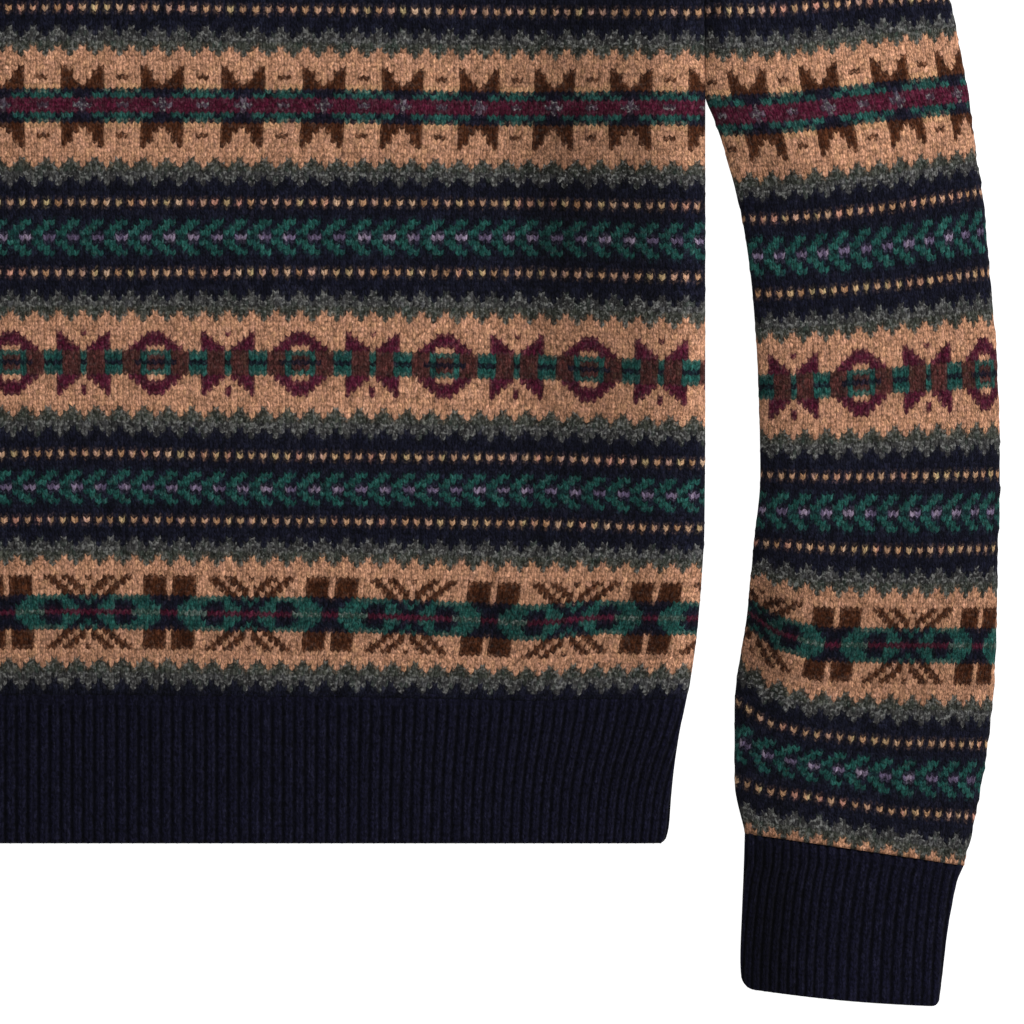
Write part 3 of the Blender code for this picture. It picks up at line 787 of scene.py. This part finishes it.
def knitting_tree():
    tree = bpy.data.node_groups.new("knit the stitches", "GeometryNodeTree")
    sizes = {"Leg slant": "Float", "Unevenness": "Float", "Rib rise": "Float"}
    for name, kind in {"Cloth": "Geometry", **sizes, "Wool": "Material"}.items():
        tree.interface.new_socket(name, in_out="INPUT", socket_type="NodeSocket" + kind)
    tree.interface.new_socket("Knitting", in_out="OUTPUT", socket_type="NodeSocketGeometry")
    add = partial(add_node, tree)
    start = tree.nodes.new("NodeGroupInput").outputs
    slant = add("GeometryNodeInputNamedAttribute", data_type="FLOAT", Name="slant", output="Attribute")
    ridge = add("GeometryNodeInputNamedAttribute", data_type="FLOAT", Name="ridge", output="Attribute")
    facing = add("ShaderNodeSeparateXYZ", add("GeometryNodeInputNormal"), output=2)
    upwards = add(MATHS, facing, 0.0, operation="MAXIMUM")
    lift = add(MATHS, ridge, start["Rib rise"], operation="MULTIPLY")
    lift = add(MATHS, lift, upwards, operation="MULTIPLY")
    slide = add(MATHS, slant, start["Leg slant"], operation="MULTIPLY")
    settled = add("ShaderNodeCombineXYZ", Y=slide, Z=lift)
    stray = add("FunctionNodeRandomValue", (-1, -1, -0.3), (1, 1, 0.3), data_type="FLOAT_VECTOR", Seed=5)
    loose = add(MATHS, slant, start["Unevenness"], operation="MULTIPLY")
    offset = add(VECTORS, stray, loose, settled, operation="MULTIPLY_ADD")
    knitted = add("GeometryNodeSetPosition", Geometry=start["Cloth"], Offset=offset)
    real = add("GeometryNodeRealizeInstances", knitted)
    add("NodeGroupOutput", Knitting=add("GeometryNodeSetMaterial", Geometry=real, Material=start["Wool"]))
    return tree


knit_tree = knitting_tree()
print("tree:", knit_tree.name, "with", len(knit_tree.nodes), "nodes")


# %% Knit a piece and attach it to the frame
LEG_SLANT = 0.0006  # metres: a quarter of a row up and as much down
UNEVENNESS = 0.0003  # how far a leg's end strays


def run_tree(cloth, tree, values):
    """Runs a tree on a piece with its named inputs set, and keeps the result as a plain mesh."""
    modifier = cloth.modifiers.new(tree.name, "NODES")
    modifier.node_group = tree
    for item in tree.interface.items_tree:
        if item.in_out == "INPUT" and item.name in values:
            modifier[item.identifier] = values[item.name]
    graph = bpy.context.evaluated_depsgraph_get()
    mesh = bpy.data.meshes.new_from_object(cloth.evaluated_get(graph))
    cloth.modifiers.remove(modifier)
    cloth.data = mesh
    for name in ("slant", "ridge"):
        mesh.attributes.remove(mesh.attributes[name])


def finish_piece(cloth, node, slot, slant=LEG_SLANT):
    """Knits a piece's stitches, hangs it on the frame's root body and hides the part that it replaces."""
    run_tree(cloth, knit_tree, {**KNITS[slot], "Leg slant": slant})
    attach(cloth, "root")
    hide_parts(node)


# %% [markdown]
# ## Brushed stranded wool
# Shetland-like wool, knitted and then brushed: a matt, fibrous yarn whose legs are round, with painted shade
# in the gaps between them, and whose loose fibres carry each colour a little way over the next. To the eye
# it is soft and slightly hazy at its edges. The colour of a leg comes from its face, the haze from the softer
# colour at its points, and the fibres from noise that is drawn out along each leg, about 0.15 mm wide.

# %% Wool of the patterned pieces
FLECK = (*linear("#8a8a86"), 1.0)
WOOL_FINISH = {
    "Roughness": 0.95, "IOR": 1.54, "Specular IOR Level": 0.03, "Sheen Weight": 0.015, "Sheen Roughness": 0.6,
}


def wool(name, fibre_across, gap_shade, haze, relief, rib_legs=0.0):
    """Brushed wool on cloth whose UV map counts stitches across and rows up."""
    material = bpy.data.materials.new(name)
    material.use_nodes = True
    add = partial(add_node, material.node_tree)

    def arch(phase, power):
        """A rounded arch from each whole number to the next."""
        turn = add(MATHS, add(MATHS, phase, operation="FRACT"), np.pi, operation="MULTIPLY")
        rise = add(MATHS, add(MATHS, turn, operation="SINE"), 0.0, operation="MAXIMUM")
        return add(MATHS, rise, power, operation="POWER")

    # hand-spun yarn wanders, so the legs' places do as well
    place = add("ShaderNodeUVMap", uv_map="stitches")
    wander = add(NOISE, place, Scale=1.1, Detail=2.0, Roughness=0.6, output=1)
    wander = add(VECTORS, wander, (0.5, 0.5, 0.5), operation="SUBTRACT")
    strayed = add(VECTORS, wander, (1.1, 1.4, 0.0), place, operation="MULTIPLY_ADD")
    across = add("ShaderNodeSeparateXYZ", strayed)
    up = across.node.outputs[1]
    if rib_legs:
        rib = add(MATHS, add(MATHS, across, 0.5, 0.5, operation="MULTIPLY_ADD"), operation="FRACT")
        off = add(MATHS, add(MATHS, rib, 0.5, operation="SUBTRACT"), operation="ABSOLUTE")
        leg = add(MATHS, add(MATHS, off, rib_legs / 2, operation="DIVIDE"), 1.0, operation="MINIMUM")
        body, leant = arch(leg, 0.45), across
    else:
        leg = arch(add(MATHS, across, 2.0, operation="MULTIPLY"), 0.45)
        body = add(MATHS, leg, arch(add(MATHS, across, 0.5, operation="ADD"), 0.4), operation="MULTIPLY")
        left = add(MATHS, add(MATHS, across, operation="FRACT"), 0.5, operation="SUBTRACT")
        lean = add(MATHS, add(MATHS, left, operation="SIGN"), 0.35, operation="MULTIPLY")
        leant = add(MATHS, across, add(MATHS, lean, up, operation="MULTIPLY"), operation="ADD")
    body = add(MATHS, body, arch(add(MATHS, up, 0.5, operation="ADD"), 0.35), operation="MULTIPLY")

    # fibres run along each leg, and loose ones lie over it every way
    fibre_place = add(
        "ShaderNodeCombineXYZ",
        add(MATHS, leant, fibre_across, operation="MULTIPLY"),
        add(MATHS, up, fibre_across / 6, operation="MULTIPLY"),
    )
    fibres = add(NOISE, fibre_place, Scale=1.0, Detail=2.0, Roughness=0.6)
    space = add("ShaderNodeTexCoord", output="Object")
    fluff = add(NOISE, space, Scale=700.0, Detail=2.0, Roughness=0.6)
    apart = add(VECTORS, space, (0.3, 0.1, 0.2), operation="ADD")
    specks = add(NOISE, apart, Scale=620.0, Detail=1.0, Roughness=0.6)
    light_fibres = add(MATHS, specks, 5.0, -2.6, operation="MULTIPLY_ADD", use_clamp=True)

    # a leg's own colour with its neighbours' haze over it, shaded by its form, and then its flecks
    yarn = add("ShaderNodeAttribute", attribute_name="yarn")
    near = add("ShaderNodeAttribute", attribute_name="near_yarn")
    over = add(MATHS, fluff, 5.0, -2.3, operation="MULTIPLY_ADD", use_clamp=True)
    over = add(MATHS, over, haze, 0.1, operation="MULTIPLY_ADD")
    soft = add("ShaderNodeMix", data_type="RGBA", Factor=over, A=yarn, B=near, output="Result")
    clumps = add(MATHS, fluff, 2.6, -0.3, operation="MULTIPLY_ADD")
    # painted shade: the colour is darkened down to gap_shade in the gaps between the legs and rows
    shade = add(MATHS, body, 1 - gap_shade, gap_shade, operation="MULTIPLY_ADD")
    for layer in (
        add(MATHS, fibres, 0.9, 0.55, operation="MULTIPLY_ADD"),
        add(MATHS, clumps, 0.15, operation="MAXIMUM"),
        add(MATHS, light_fibres, 0.22, 0.96, operation="MULTIPLY_ADD"),
    ):
        shade = add(MATHS, shade, layer, operation="MULTIPLY")
    colour = add(VECTORS, soft, Scale=shade, operation="SCALE")
    fleck = add(MATHS, light_fibres, yarn.node.outputs["Alpha"], operation="MULTIPLY")
    fleck = add(MATHS, fleck, 0.45, operation="MULTIPLY")
    flecked = add("ShaderNodeMix", data_type="RGBA", Factor=fleck, A=colour, B=FLECK, output="Result")
    height = add(MATHS, fibres, 0.35, body, operation="MULTIPLY_ADD")
    height = add(MATHS, height, add(MATHS, fluff, 0.5, operation="MULTIPLY"), operation="ADD")
    shader = material.node_tree.nodes["Principled BSDF"]
    material.node_tree.links.new(flecked, shader.inputs["Base Color"])
    bump = add("ShaderNodeBump", Height=height, Distance=relief, Strength=0.8)
    material.node_tree.links.new(bump, shader.inputs["Normal"])
    for socket, value in WOOL_FINISH.items():
        shader.inputs[socket].default_value = value
    return material


patterned_wool = wool("brushed stranded wool", fibre_across=5.0, gap_shade=0.5, haze=0.5, relief=0.0006)
KNITS = {"patterned_wool": {"Unevenness": UNEVENNESS, "Wool": patterned_wool}}
print("wool:", patterned_wool.name, "with", len(patterned_wool.node_tree.nodes), "nodes")

# %% [markdown]
# ## The front and the back
# Both panels have the same bands, from the hem rib's seam to the shoulder.
# They are rolled at the sides and shoulders, where they meet each other, and cut at the armholes and neck.


# %% Knit the front and the back
def chart_letters(rows, middles):
    """The chart's letters for rows and for places across."""
    stitches = np.round(middles).astype(int)
    out = np.empty((len(rows), len(middles)), "<U1")
    for k, row in enumerate(rows):
        spot = chart[min(max(row - FIRST_ROW, 0), len(chart) - 1)]
        out[k] = [spot.letters[(n - spot.start) % len(spot.letters)] for n in stitches]
    return out


body_lines = Lines(
    np.arange(-112, 112.5, 0.5), np.arange(-1.5, 265, 1.0),
    np.arange(-112, 113, 7.0), np.append(np.arange(-1.5, 260, 9.0), 264.5),
)
for name, upper, drop, spread, area, rests_on in (
    ("front", True, FRONT_DROP, 1.0, 0.318, "back"),
    ("back", False, BACK_DROP, 1.03, 0.330, "floor"),
):
    panel = cloth_mesh(
        f"{name}_knit", body_place(upper, drop, spread), body_lines, chart_letters, SEED + 1 - upper,
        outside_down=not upper,
    )
    finish_piece(panel, name, "patterned_wool")

# %% [markdown]
# ## The sleeves
# Each sleeve is knitted round from the cuff up, so it is one cloth that starts and ends at its seam beside
# the body. The right sleeve, as worn, is the left one mirrored.

# %% Knit the sleeves
sleeve_lines = Lines(
    np.arange(-38, 68, 0.5), np.arange(-27.5, 245, 1.0),
    np.arange(-38, 68, 2.0), np.append(np.arange(-27.5, 240, 9.0), 244.5),
)
for side in ("left", "right"):
    sleeve = cloth_mesh(
        f"sleeve_{side}_knit", sleeve_place, sleeve_lines, chart_letters, SEED + 2, mirror=side == "right"
    )
    finish_piece(sleeve, f"sleeve_{side}", "patterned_wool")

# %% [markdown]
# ## The ribs
# Hem, cuffs and neckband are one by one rib in navy: a knitted stitch, a purled one that sinks behind it,
# and so on, so that the cloth draws together into ridges about 5 mm apart. Each ridge is a stack of small Vs,
# so it has two rounded legs and a shallow groove between them. Each pair of columns gets eight points across,
# and the tree lifts them by the ridge's height and slants its legs. The hem's ribs sink away in their last
# four rows, where they run out into the plain knitting above. The wool is the same, in navy and less brushed,
# and to the eye it is nearly black, matt, and crisper in its legs.

# %% Form and wool of the ribs
RIB_ROW = 2.4  # millimetres
RIB_ROWS = HEM_RIB / RIB_ROW
RIB_FADE = RIB_ROWS - 4  # the row above which the ribs of the hem sink away
RIB_PITCH = 2.61  # half the way from rib to rib at the hem's middle
RIB_PHASES = [0, 0.25, 0.5, 0.75, 1]
EDGE_ROWS = [0, 0.2, 0.5]  # closer rows, where a free edge turns down


def rib_phase(u):
    """0 in the middle of a rib and 1 in the middle of a gap."""
    return np.abs((u + 1) % 2 - 1)


def rib_ridge(u, v):
    return np.interp(rib_phase(u), RIB_PHASES, [0.84, 1.0, 0.8, 0.25, 0.0])


def hem_ridge(u, v):
    """The ribs rise out of the plain knitting over their last few rows."""
    return rib_ridge(u, v) * (1 - ramp(v, RIB_FADE, RIB_ROWS))


def rib_slant(u):
    return np.interp(rib_phase(u), RIB_PHASES, [-1.0, 0.0, 1.0, 0.4, 0.0])


def rib_letters(rows, middles):
    """Navy legs, and gaps darkened with painted shade where the ribs have risen."""
    gaps = (rib_phase(middles) >= 0.7)[None, :] & (rows < RIB_FADE + 1.5)[:, None]
    return np.where(gaps, "v", "h")


ribbed_wool = wool(
    "ribbed navy wool", fibre_across=6.0, gap_shade=0.52, haze=0.4, relief=0.0004, rib_legs=0.72
)
KNITS["ribbed_wool"] = {"Rib rise": 0.001 * RIB_RISE, "Wool": ribbed_wool}
print("ribs:", 2 * RIB_PITCH, "mm apart at the hem's middle,", RIB_RISE, "mm high")

# %% [markdown]
# ## The hem ribs
# Front and back each have a band, 70 mm deep, whose ribs crowd together towards its lower corners. The free
# edge is soft, so its last two millimetres turn down towards the wall's middle.

# %% Knit the hem ribs
Flare = namedtuple("Flare", "up share")
rib_flare = curve(
    table(Flare, [(0, 0), (20, 0.14), (35, 0.37), (50, 0.72), (65, 1.0), (72, 1.05)]), "up", "share"
)
CROWDING = (0.00092, 0.00249)  # at the hem's top, and how much more at its free edge
CROWD_FROM = 30  # stitches from the middle
EDGE_ROUND = 1.8
HEM_CORNER = 3.0


def hem_place(upper):
    def place(u, v, inside):
        up = np.clip(v * RIB_ROW, 0, HEM_RIB)
        way = np.where(u < 0, -1.0, 1.0)
        corner = HEM_CORNER * (1 - np.sqrt(1 - (1 - np.clip(up / HEM_CORNER, 0, 1)) ** 2))
        half = half_width(up) - corner
        crowded = (CROWDING[0] + CROWDING[1] * (1 - rib_flare(up))) * np.clip(np.abs(u) - CROWD_FROM, 0, None) ** 2
        flat = way * axis_at(up) + np.abs(u) * RIB_PITCH - crowded
        angle, depth, past = fold_turn(flat - (half - FOLD), FOLD, 0.0)
        reach = FOLD - RIB_WALL if inside else FOLD
        x = way * np.where(flat > half - FOLD, half - FOLD + reach * depth, flat)
        face = LAID - RIB_RISE * (1 - ramp(v, RIB_FADE, RIB_ROWS)) if upper else 0 * up
        if inside:
            face = face + (-RIB_WALL if upper else RIB_WALL)
        level = MID + SEAM / 2 if upper else MID - SEAM / 2
        z = face + (level - face) * (1 - np.cos(angle))
        if upper:
            near_edge = np.clip(1 - up / EDGE_ROUND, 0, 1)
            z = z + (0.5 if inside else -1.0) * (1 - np.sqrt(1 - near_edge**2))
        return Spots(x, up, z, np.where(past, way, 0).astype(int), np.zeros(np.shape(u), bool))

    return place


hem_u, hem_v = np.arange(-119, 119.25, 0.25), np.concatenate([EDGE_ROWS, np.arange(1, 29.1, 1.0), [RIB_ROWS]])
for name, upper, rests_on in (("front", True, "hem_rib_back"), ("back", False, "floor")):
    points_u = hem_u if upper else hem_u[::2]  # the hidden band needs half as many
    hem_lines = Lines(points_u, hem_v, np.arange(-119, 120, 7.0), np.linspace(0, RIB_ROWS, 6))
    hem = cloth_mesh(
        f"hem_rib_{name}_knit", hem_place(upper), hem_lines, rib_letters, SEED + 3 + upper,
        outside_down=not upper, slant_at=rib_slant, ridge_at=hem_ridge,
    )
    finish_piece(hem, f"hem_rib_{name}", "ribbed_wool")

# %% [markdown]
# ## The cuffs
# A cuff is a short tube of the same rib, a little narrower than the sleeve and bowed at its free edge.

# %% Knit the cuffs
CUFF = table(Section, [
    (308.3, -68.0, 400.6, -76.6, 0.0), (307.4, -55.0, 402.6, -60.6, 0.0), (308.1, -33.8, 405.1, -39.5, 0.0),
    (309.0, -11.7, 408.9, -19.7, 0.0), (309.5, 4.9, 412.5, -10.2, 0.2),
])
CUFF_ROWS = 30.0
CUFF_BEND = 1.74
CUFF_PITCH = 2.63
CUFF_WIDTH = 92.0
CUFF_END_BOW, CUFF_BOW_ROWS = 1.4, 8
CUFF_CORNERS, CUFF_CORNER_ROWS = (5.5, 3.5), 3  # how round its corners are, by the body and away from it
cuff_out_up = curve(CUFF, "in_up", "out_up")


def cuff_height(v, share):
    share = np.clip(share, 0, 1)
    bow = CUFF_END_BOW * np.clip(1 - v / CUFF_BOW_ROWS, 0, 1) * np.sin(np.pi * share)
    for round_off, far in zip(CUFF_CORNERS, (share, 1 - share)):
        near = np.clip(1 - far * CUFF_WIDTH / round_off, 0, 1)
        bow = bow - round_off * (1 - np.sqrt(1 - near**2)) * np.clip(1 - v / CUFF_CORNER_ROWS, 0, 1)
    in_up = CUFF[0].in_up + (CUFF[-1].in_up - CUFF[0].in_up) * np.clip(v / CUFF_ROWS, 0, 1)
    return in_up + (cuff_out_up(in_up) - in_up) * share - bow


cuff_place = tube_place(
    cuff_height, curve(CUFF, "in_up", "in_x"), curve(CUFF, "out_up", "out_x"), lambda v: 0.5 + 0 * v,
    lambda v: CUFF_PITCH + 0 * v, lambda v: 0.5 + 0 * v, CUFF_BEND, lambda up: 0 * up, lambda up: 0 * up,
    LAID - RIB_RISE, RIB_WALL, 0.2,
)
cuff_lines = Lines(
    np.arange(-24, 64, 0.25), np.concatenate([EDGE_ROWS, np.arange(1, CUFF_ROWS + 0.1, 1.0)]),
    np.arange(-24, 64, 2.0), np.linspace(0, CUFF_ROWS, 6),
)
for side in ("left", "right"):
    cuff = cloth_mesh(
        f"cuff_{side}_knit", cuff_place, cuff_lines, rib_letters, SEED + 6, mirror=side == "right",
        slant_at=rib_slant, ridge_at=rib_ridge,
    )
    finish_piece(cuff, f"cuff_{side}", "ribbed_wool")

# %% [markdown]
# ## The neckband
# A crew neck's band is a ring of rib, laid flat so that its front half lies over its back half. Its ribs
# point at the neck's middle, so they are closer together at its free edge.

# %% Knit the neckband
NECK_SEAM = 0.6
NECKBAND_INSET = 21.0
NECKBAND_RISE = 17.0
NECKBAND_FRONT = 27.0
NECKBAND_BACK = 26.0
NECKBAND_FOLD = 7.0
NECKBAND_SUNK = 0.6  # how far its front lies below the yoke
NECKBAND_ROWS = 11.0
NECKBAND_PITCH = 2.55
turns = np.linspace(0, np.pi, 400)


def neck_arc(reach, base, drop, power):
    return np.stack([-reach * np.cos(turns), base - drop * np.sin(turns) ** power], axis=1)


seam_half, free_half = NECK_HALF - NECK_SEAM, NECK_HALF - NECK_SEAM - NECKBAND_INSET
seam_up, free_up = NECK_UP + NECK_SEAM, NECK_UP + NECKBAND_RISE
front_arcs = (
    neck_arc(seam_half, seam_up, FRONT_DROP, 0.9),
    neck_arc(free_half, free_up, FRONT_DROP + NECKBAND_RISE - NECKBAND_FRONT, 0.9),
)
back_arcs = (
    neck_arc(seam_half, seam_up, BACK_DROP, 1.0),
    neck_arc(free_half, free_up, BACK_DROP + NECKBAND_RISE - NECKBAND_BACK, 1.0),
)


def arc_lengths(arcs):
    middle = (arcs[0] + arcs[1]) / 2
    return np.concatenate([[0], np.cumsum(np.hypot(*np.diff(middle, axis=0).T))])


front_lengths, back_lengths = arc_lengths(front_arcs), arc_lengths(back_arcs)
front_whole = front_lengths[-1]
neck_whole = front_whole + back_lengths[-1]
neck_stitches = neck_whole / NECKBAND_PITCH
print("neckband:", round(neck_whole), "mm round,", round(neck_stitches), "stitches")


def neck_place(u, v, inside):
    along = np.clip(u * NECKBAND_PITCH, 0, neck_whole)
    share = v / NECKBAND_ROWS
    over = along <= front_whole
    front_far = np.interp(along, front_lengths, np.arange(len(turns)))
    back_far = np.interp(neck_whole - along, back_lengths, np.arange(len(turns)))

    def spot(arcs, far, k):
        edges = [np.interp(far, np.arange(len(turns)), arc[:, k]) for arc in arcs]
        return edges[0] * (1 - share) + edges[1] * share

    x, up = [np.where(over, spot(front_arcs, front_far, k), spot(back_arcs, back_far, k)) for k in (0, 1)]
    fold_far = np.minimum(np.abs(along - front_whole), np.minimum(along, neck_whole - along))
    near = np.clip(fold_far / NECKBAND_FOLD, 0, 1)
    turn = np.sin(np.arccos(1 - near))
    level = MID + np.where(over, 1, -1) * SEAM / 2 * (x < 0)
    thin = RIB_WALL if inside else 0.0
    face = np.where(over, LAID - RIB_RISE - NECKBAND_SUNK - thin, thin)
    if inside:
        x = x + RIB_WALL * (1 - near) * np.sign(-x)
    side = np.zeros(np.shape(u), int)
    return Spots(x, up, level + (face - level) * turn, side, np.zeros(np.shape(u), bool))


front_steps = np.arange(0, front_whole / NECKBAND_PITCH, 0.25)
back_steps = np.arange(front_whole / NECKBAND_PITCH, neck_stitches, 0.5)
neck_lines = Lines(
    np.concatenate([front_steps, back_steps, [neck_stitches]]),
    np.concatenate([[0], np.arange(1, NECKBAND_ROWS, 1.0), [NECKBAND_ROWS - 0.4, NECKBAND_ROWS]]),
    np.concatenate([np.linspace(0, front_steps[-1], 60), np.linspace(back_steps[0], neck_stitches, 40)]),
    np.linspace(0, NECKBAND_ROWS, 4),
)
neckband = cloth_mesh(
    "neckband_knit", neck_place, neck_lines, rib_letters, SEED + 8, slant_at=rib_slant, ridge_at=rib_ridge
)
finish_piece(neckband, "neckband", "ribbed_wool", slant=0.0)

# %% [markdown]
# ## Light, floor and camera
# A garment laid flat is seen from straight above, on a table of opal glass that is lit from below, so that
# the table stays white and takes no shadow. Soft daylight comes from all round, and a soft box low on the
# upper right gives the cloth its form. A long lens from far up keeps the view flat.

# %% Set the floor, the lights and the camera
floor_mesh = bpy.data.meshes.new("table_top")
floor_mesh.from_pydata([(-2, -2, 0), (2, -2, 0), (2, 2, 0), (-2, 2, 0)], [], [(0, 1, 2, 3)])
floor = bpy.data.objects.new("table_top", floor_mesh)
floor_mesh.transform(Matrix.Translation((0, 0, -0.0004)))
bpy.context.scene.collection.objects.link(floor)
white_table = bpy.data.materials.new("opal glass lit from below")
white_table.use_nodes = True
glass = white_table.node_tree.nodes["Principled BSDF"].inputs
glass["Base Color"].default_value = (0.2, 0.2, 0.2, 1)
glass["Emission Color"].default_value = (1, 1, 1, 1)
glass["Emission Strength"].default_value = 1.0
glass["Roughness"].default_value = 0.9
floor_mesh.materials.append(white_table)

scene = bpy.context.scene
scene.view_settings.view_transform = "Standard"
scene.world = bpy.data.worlds.new("studio")
scene.world.use_nodes = True
daylight = scene.world.node_tree.nodes["Background"].inputs
daylight["Color"].default_value = (1, 1, 1, 1)
daylight["Strength"].default_value = 0.6


def soft_box(name, place, aim, size, power):
    lamp = bpy.data.lights.new(name, "AREA")
    lamp.shape = "SQUARE"
    lamp.size = size
    lamp.energy = power
    box = bpy.data.objects.new(name, lamp)
    box.location = place
    box.rotation_euler = (Vector(aim) - Vector(place)).to_track_quat("-Z", "Y").to_euler()
    scene.collection.objects.link(box)


soft_box("upper right box", (1.5, 0.8, 1.1), (0.2, -0.1, 0), 1.0, 44)
soft_box("left box", (-1.4, 1.2, 2.4), (0.1, -0.1, 0), 1.2, 10)

VIEW_CENTRE = (0.2002, -0.1591)
VIEW_WIDTH = 0.4813
CAMERA_HEIGHT = 6.0
camera = bpy.data.cameras.new("camera")
camera.sensor_width = 36.0
camera.lens = camera.sensor_width * CAMERA_HEIGHT / VIEW_WIDTH
camera.clip_end = 20
camera_object = bpy.data.objects.new("camera", camera)
camera_object.location = (*VIEW_CENTRE, CAMERA_HEIGHT)
scene.collection.objects.link(camera_object)
scene.camera = camera_object
print("camera:", CAMERA_HEIGHT, "m up, with a lens of", round(camera.lens), "mm")
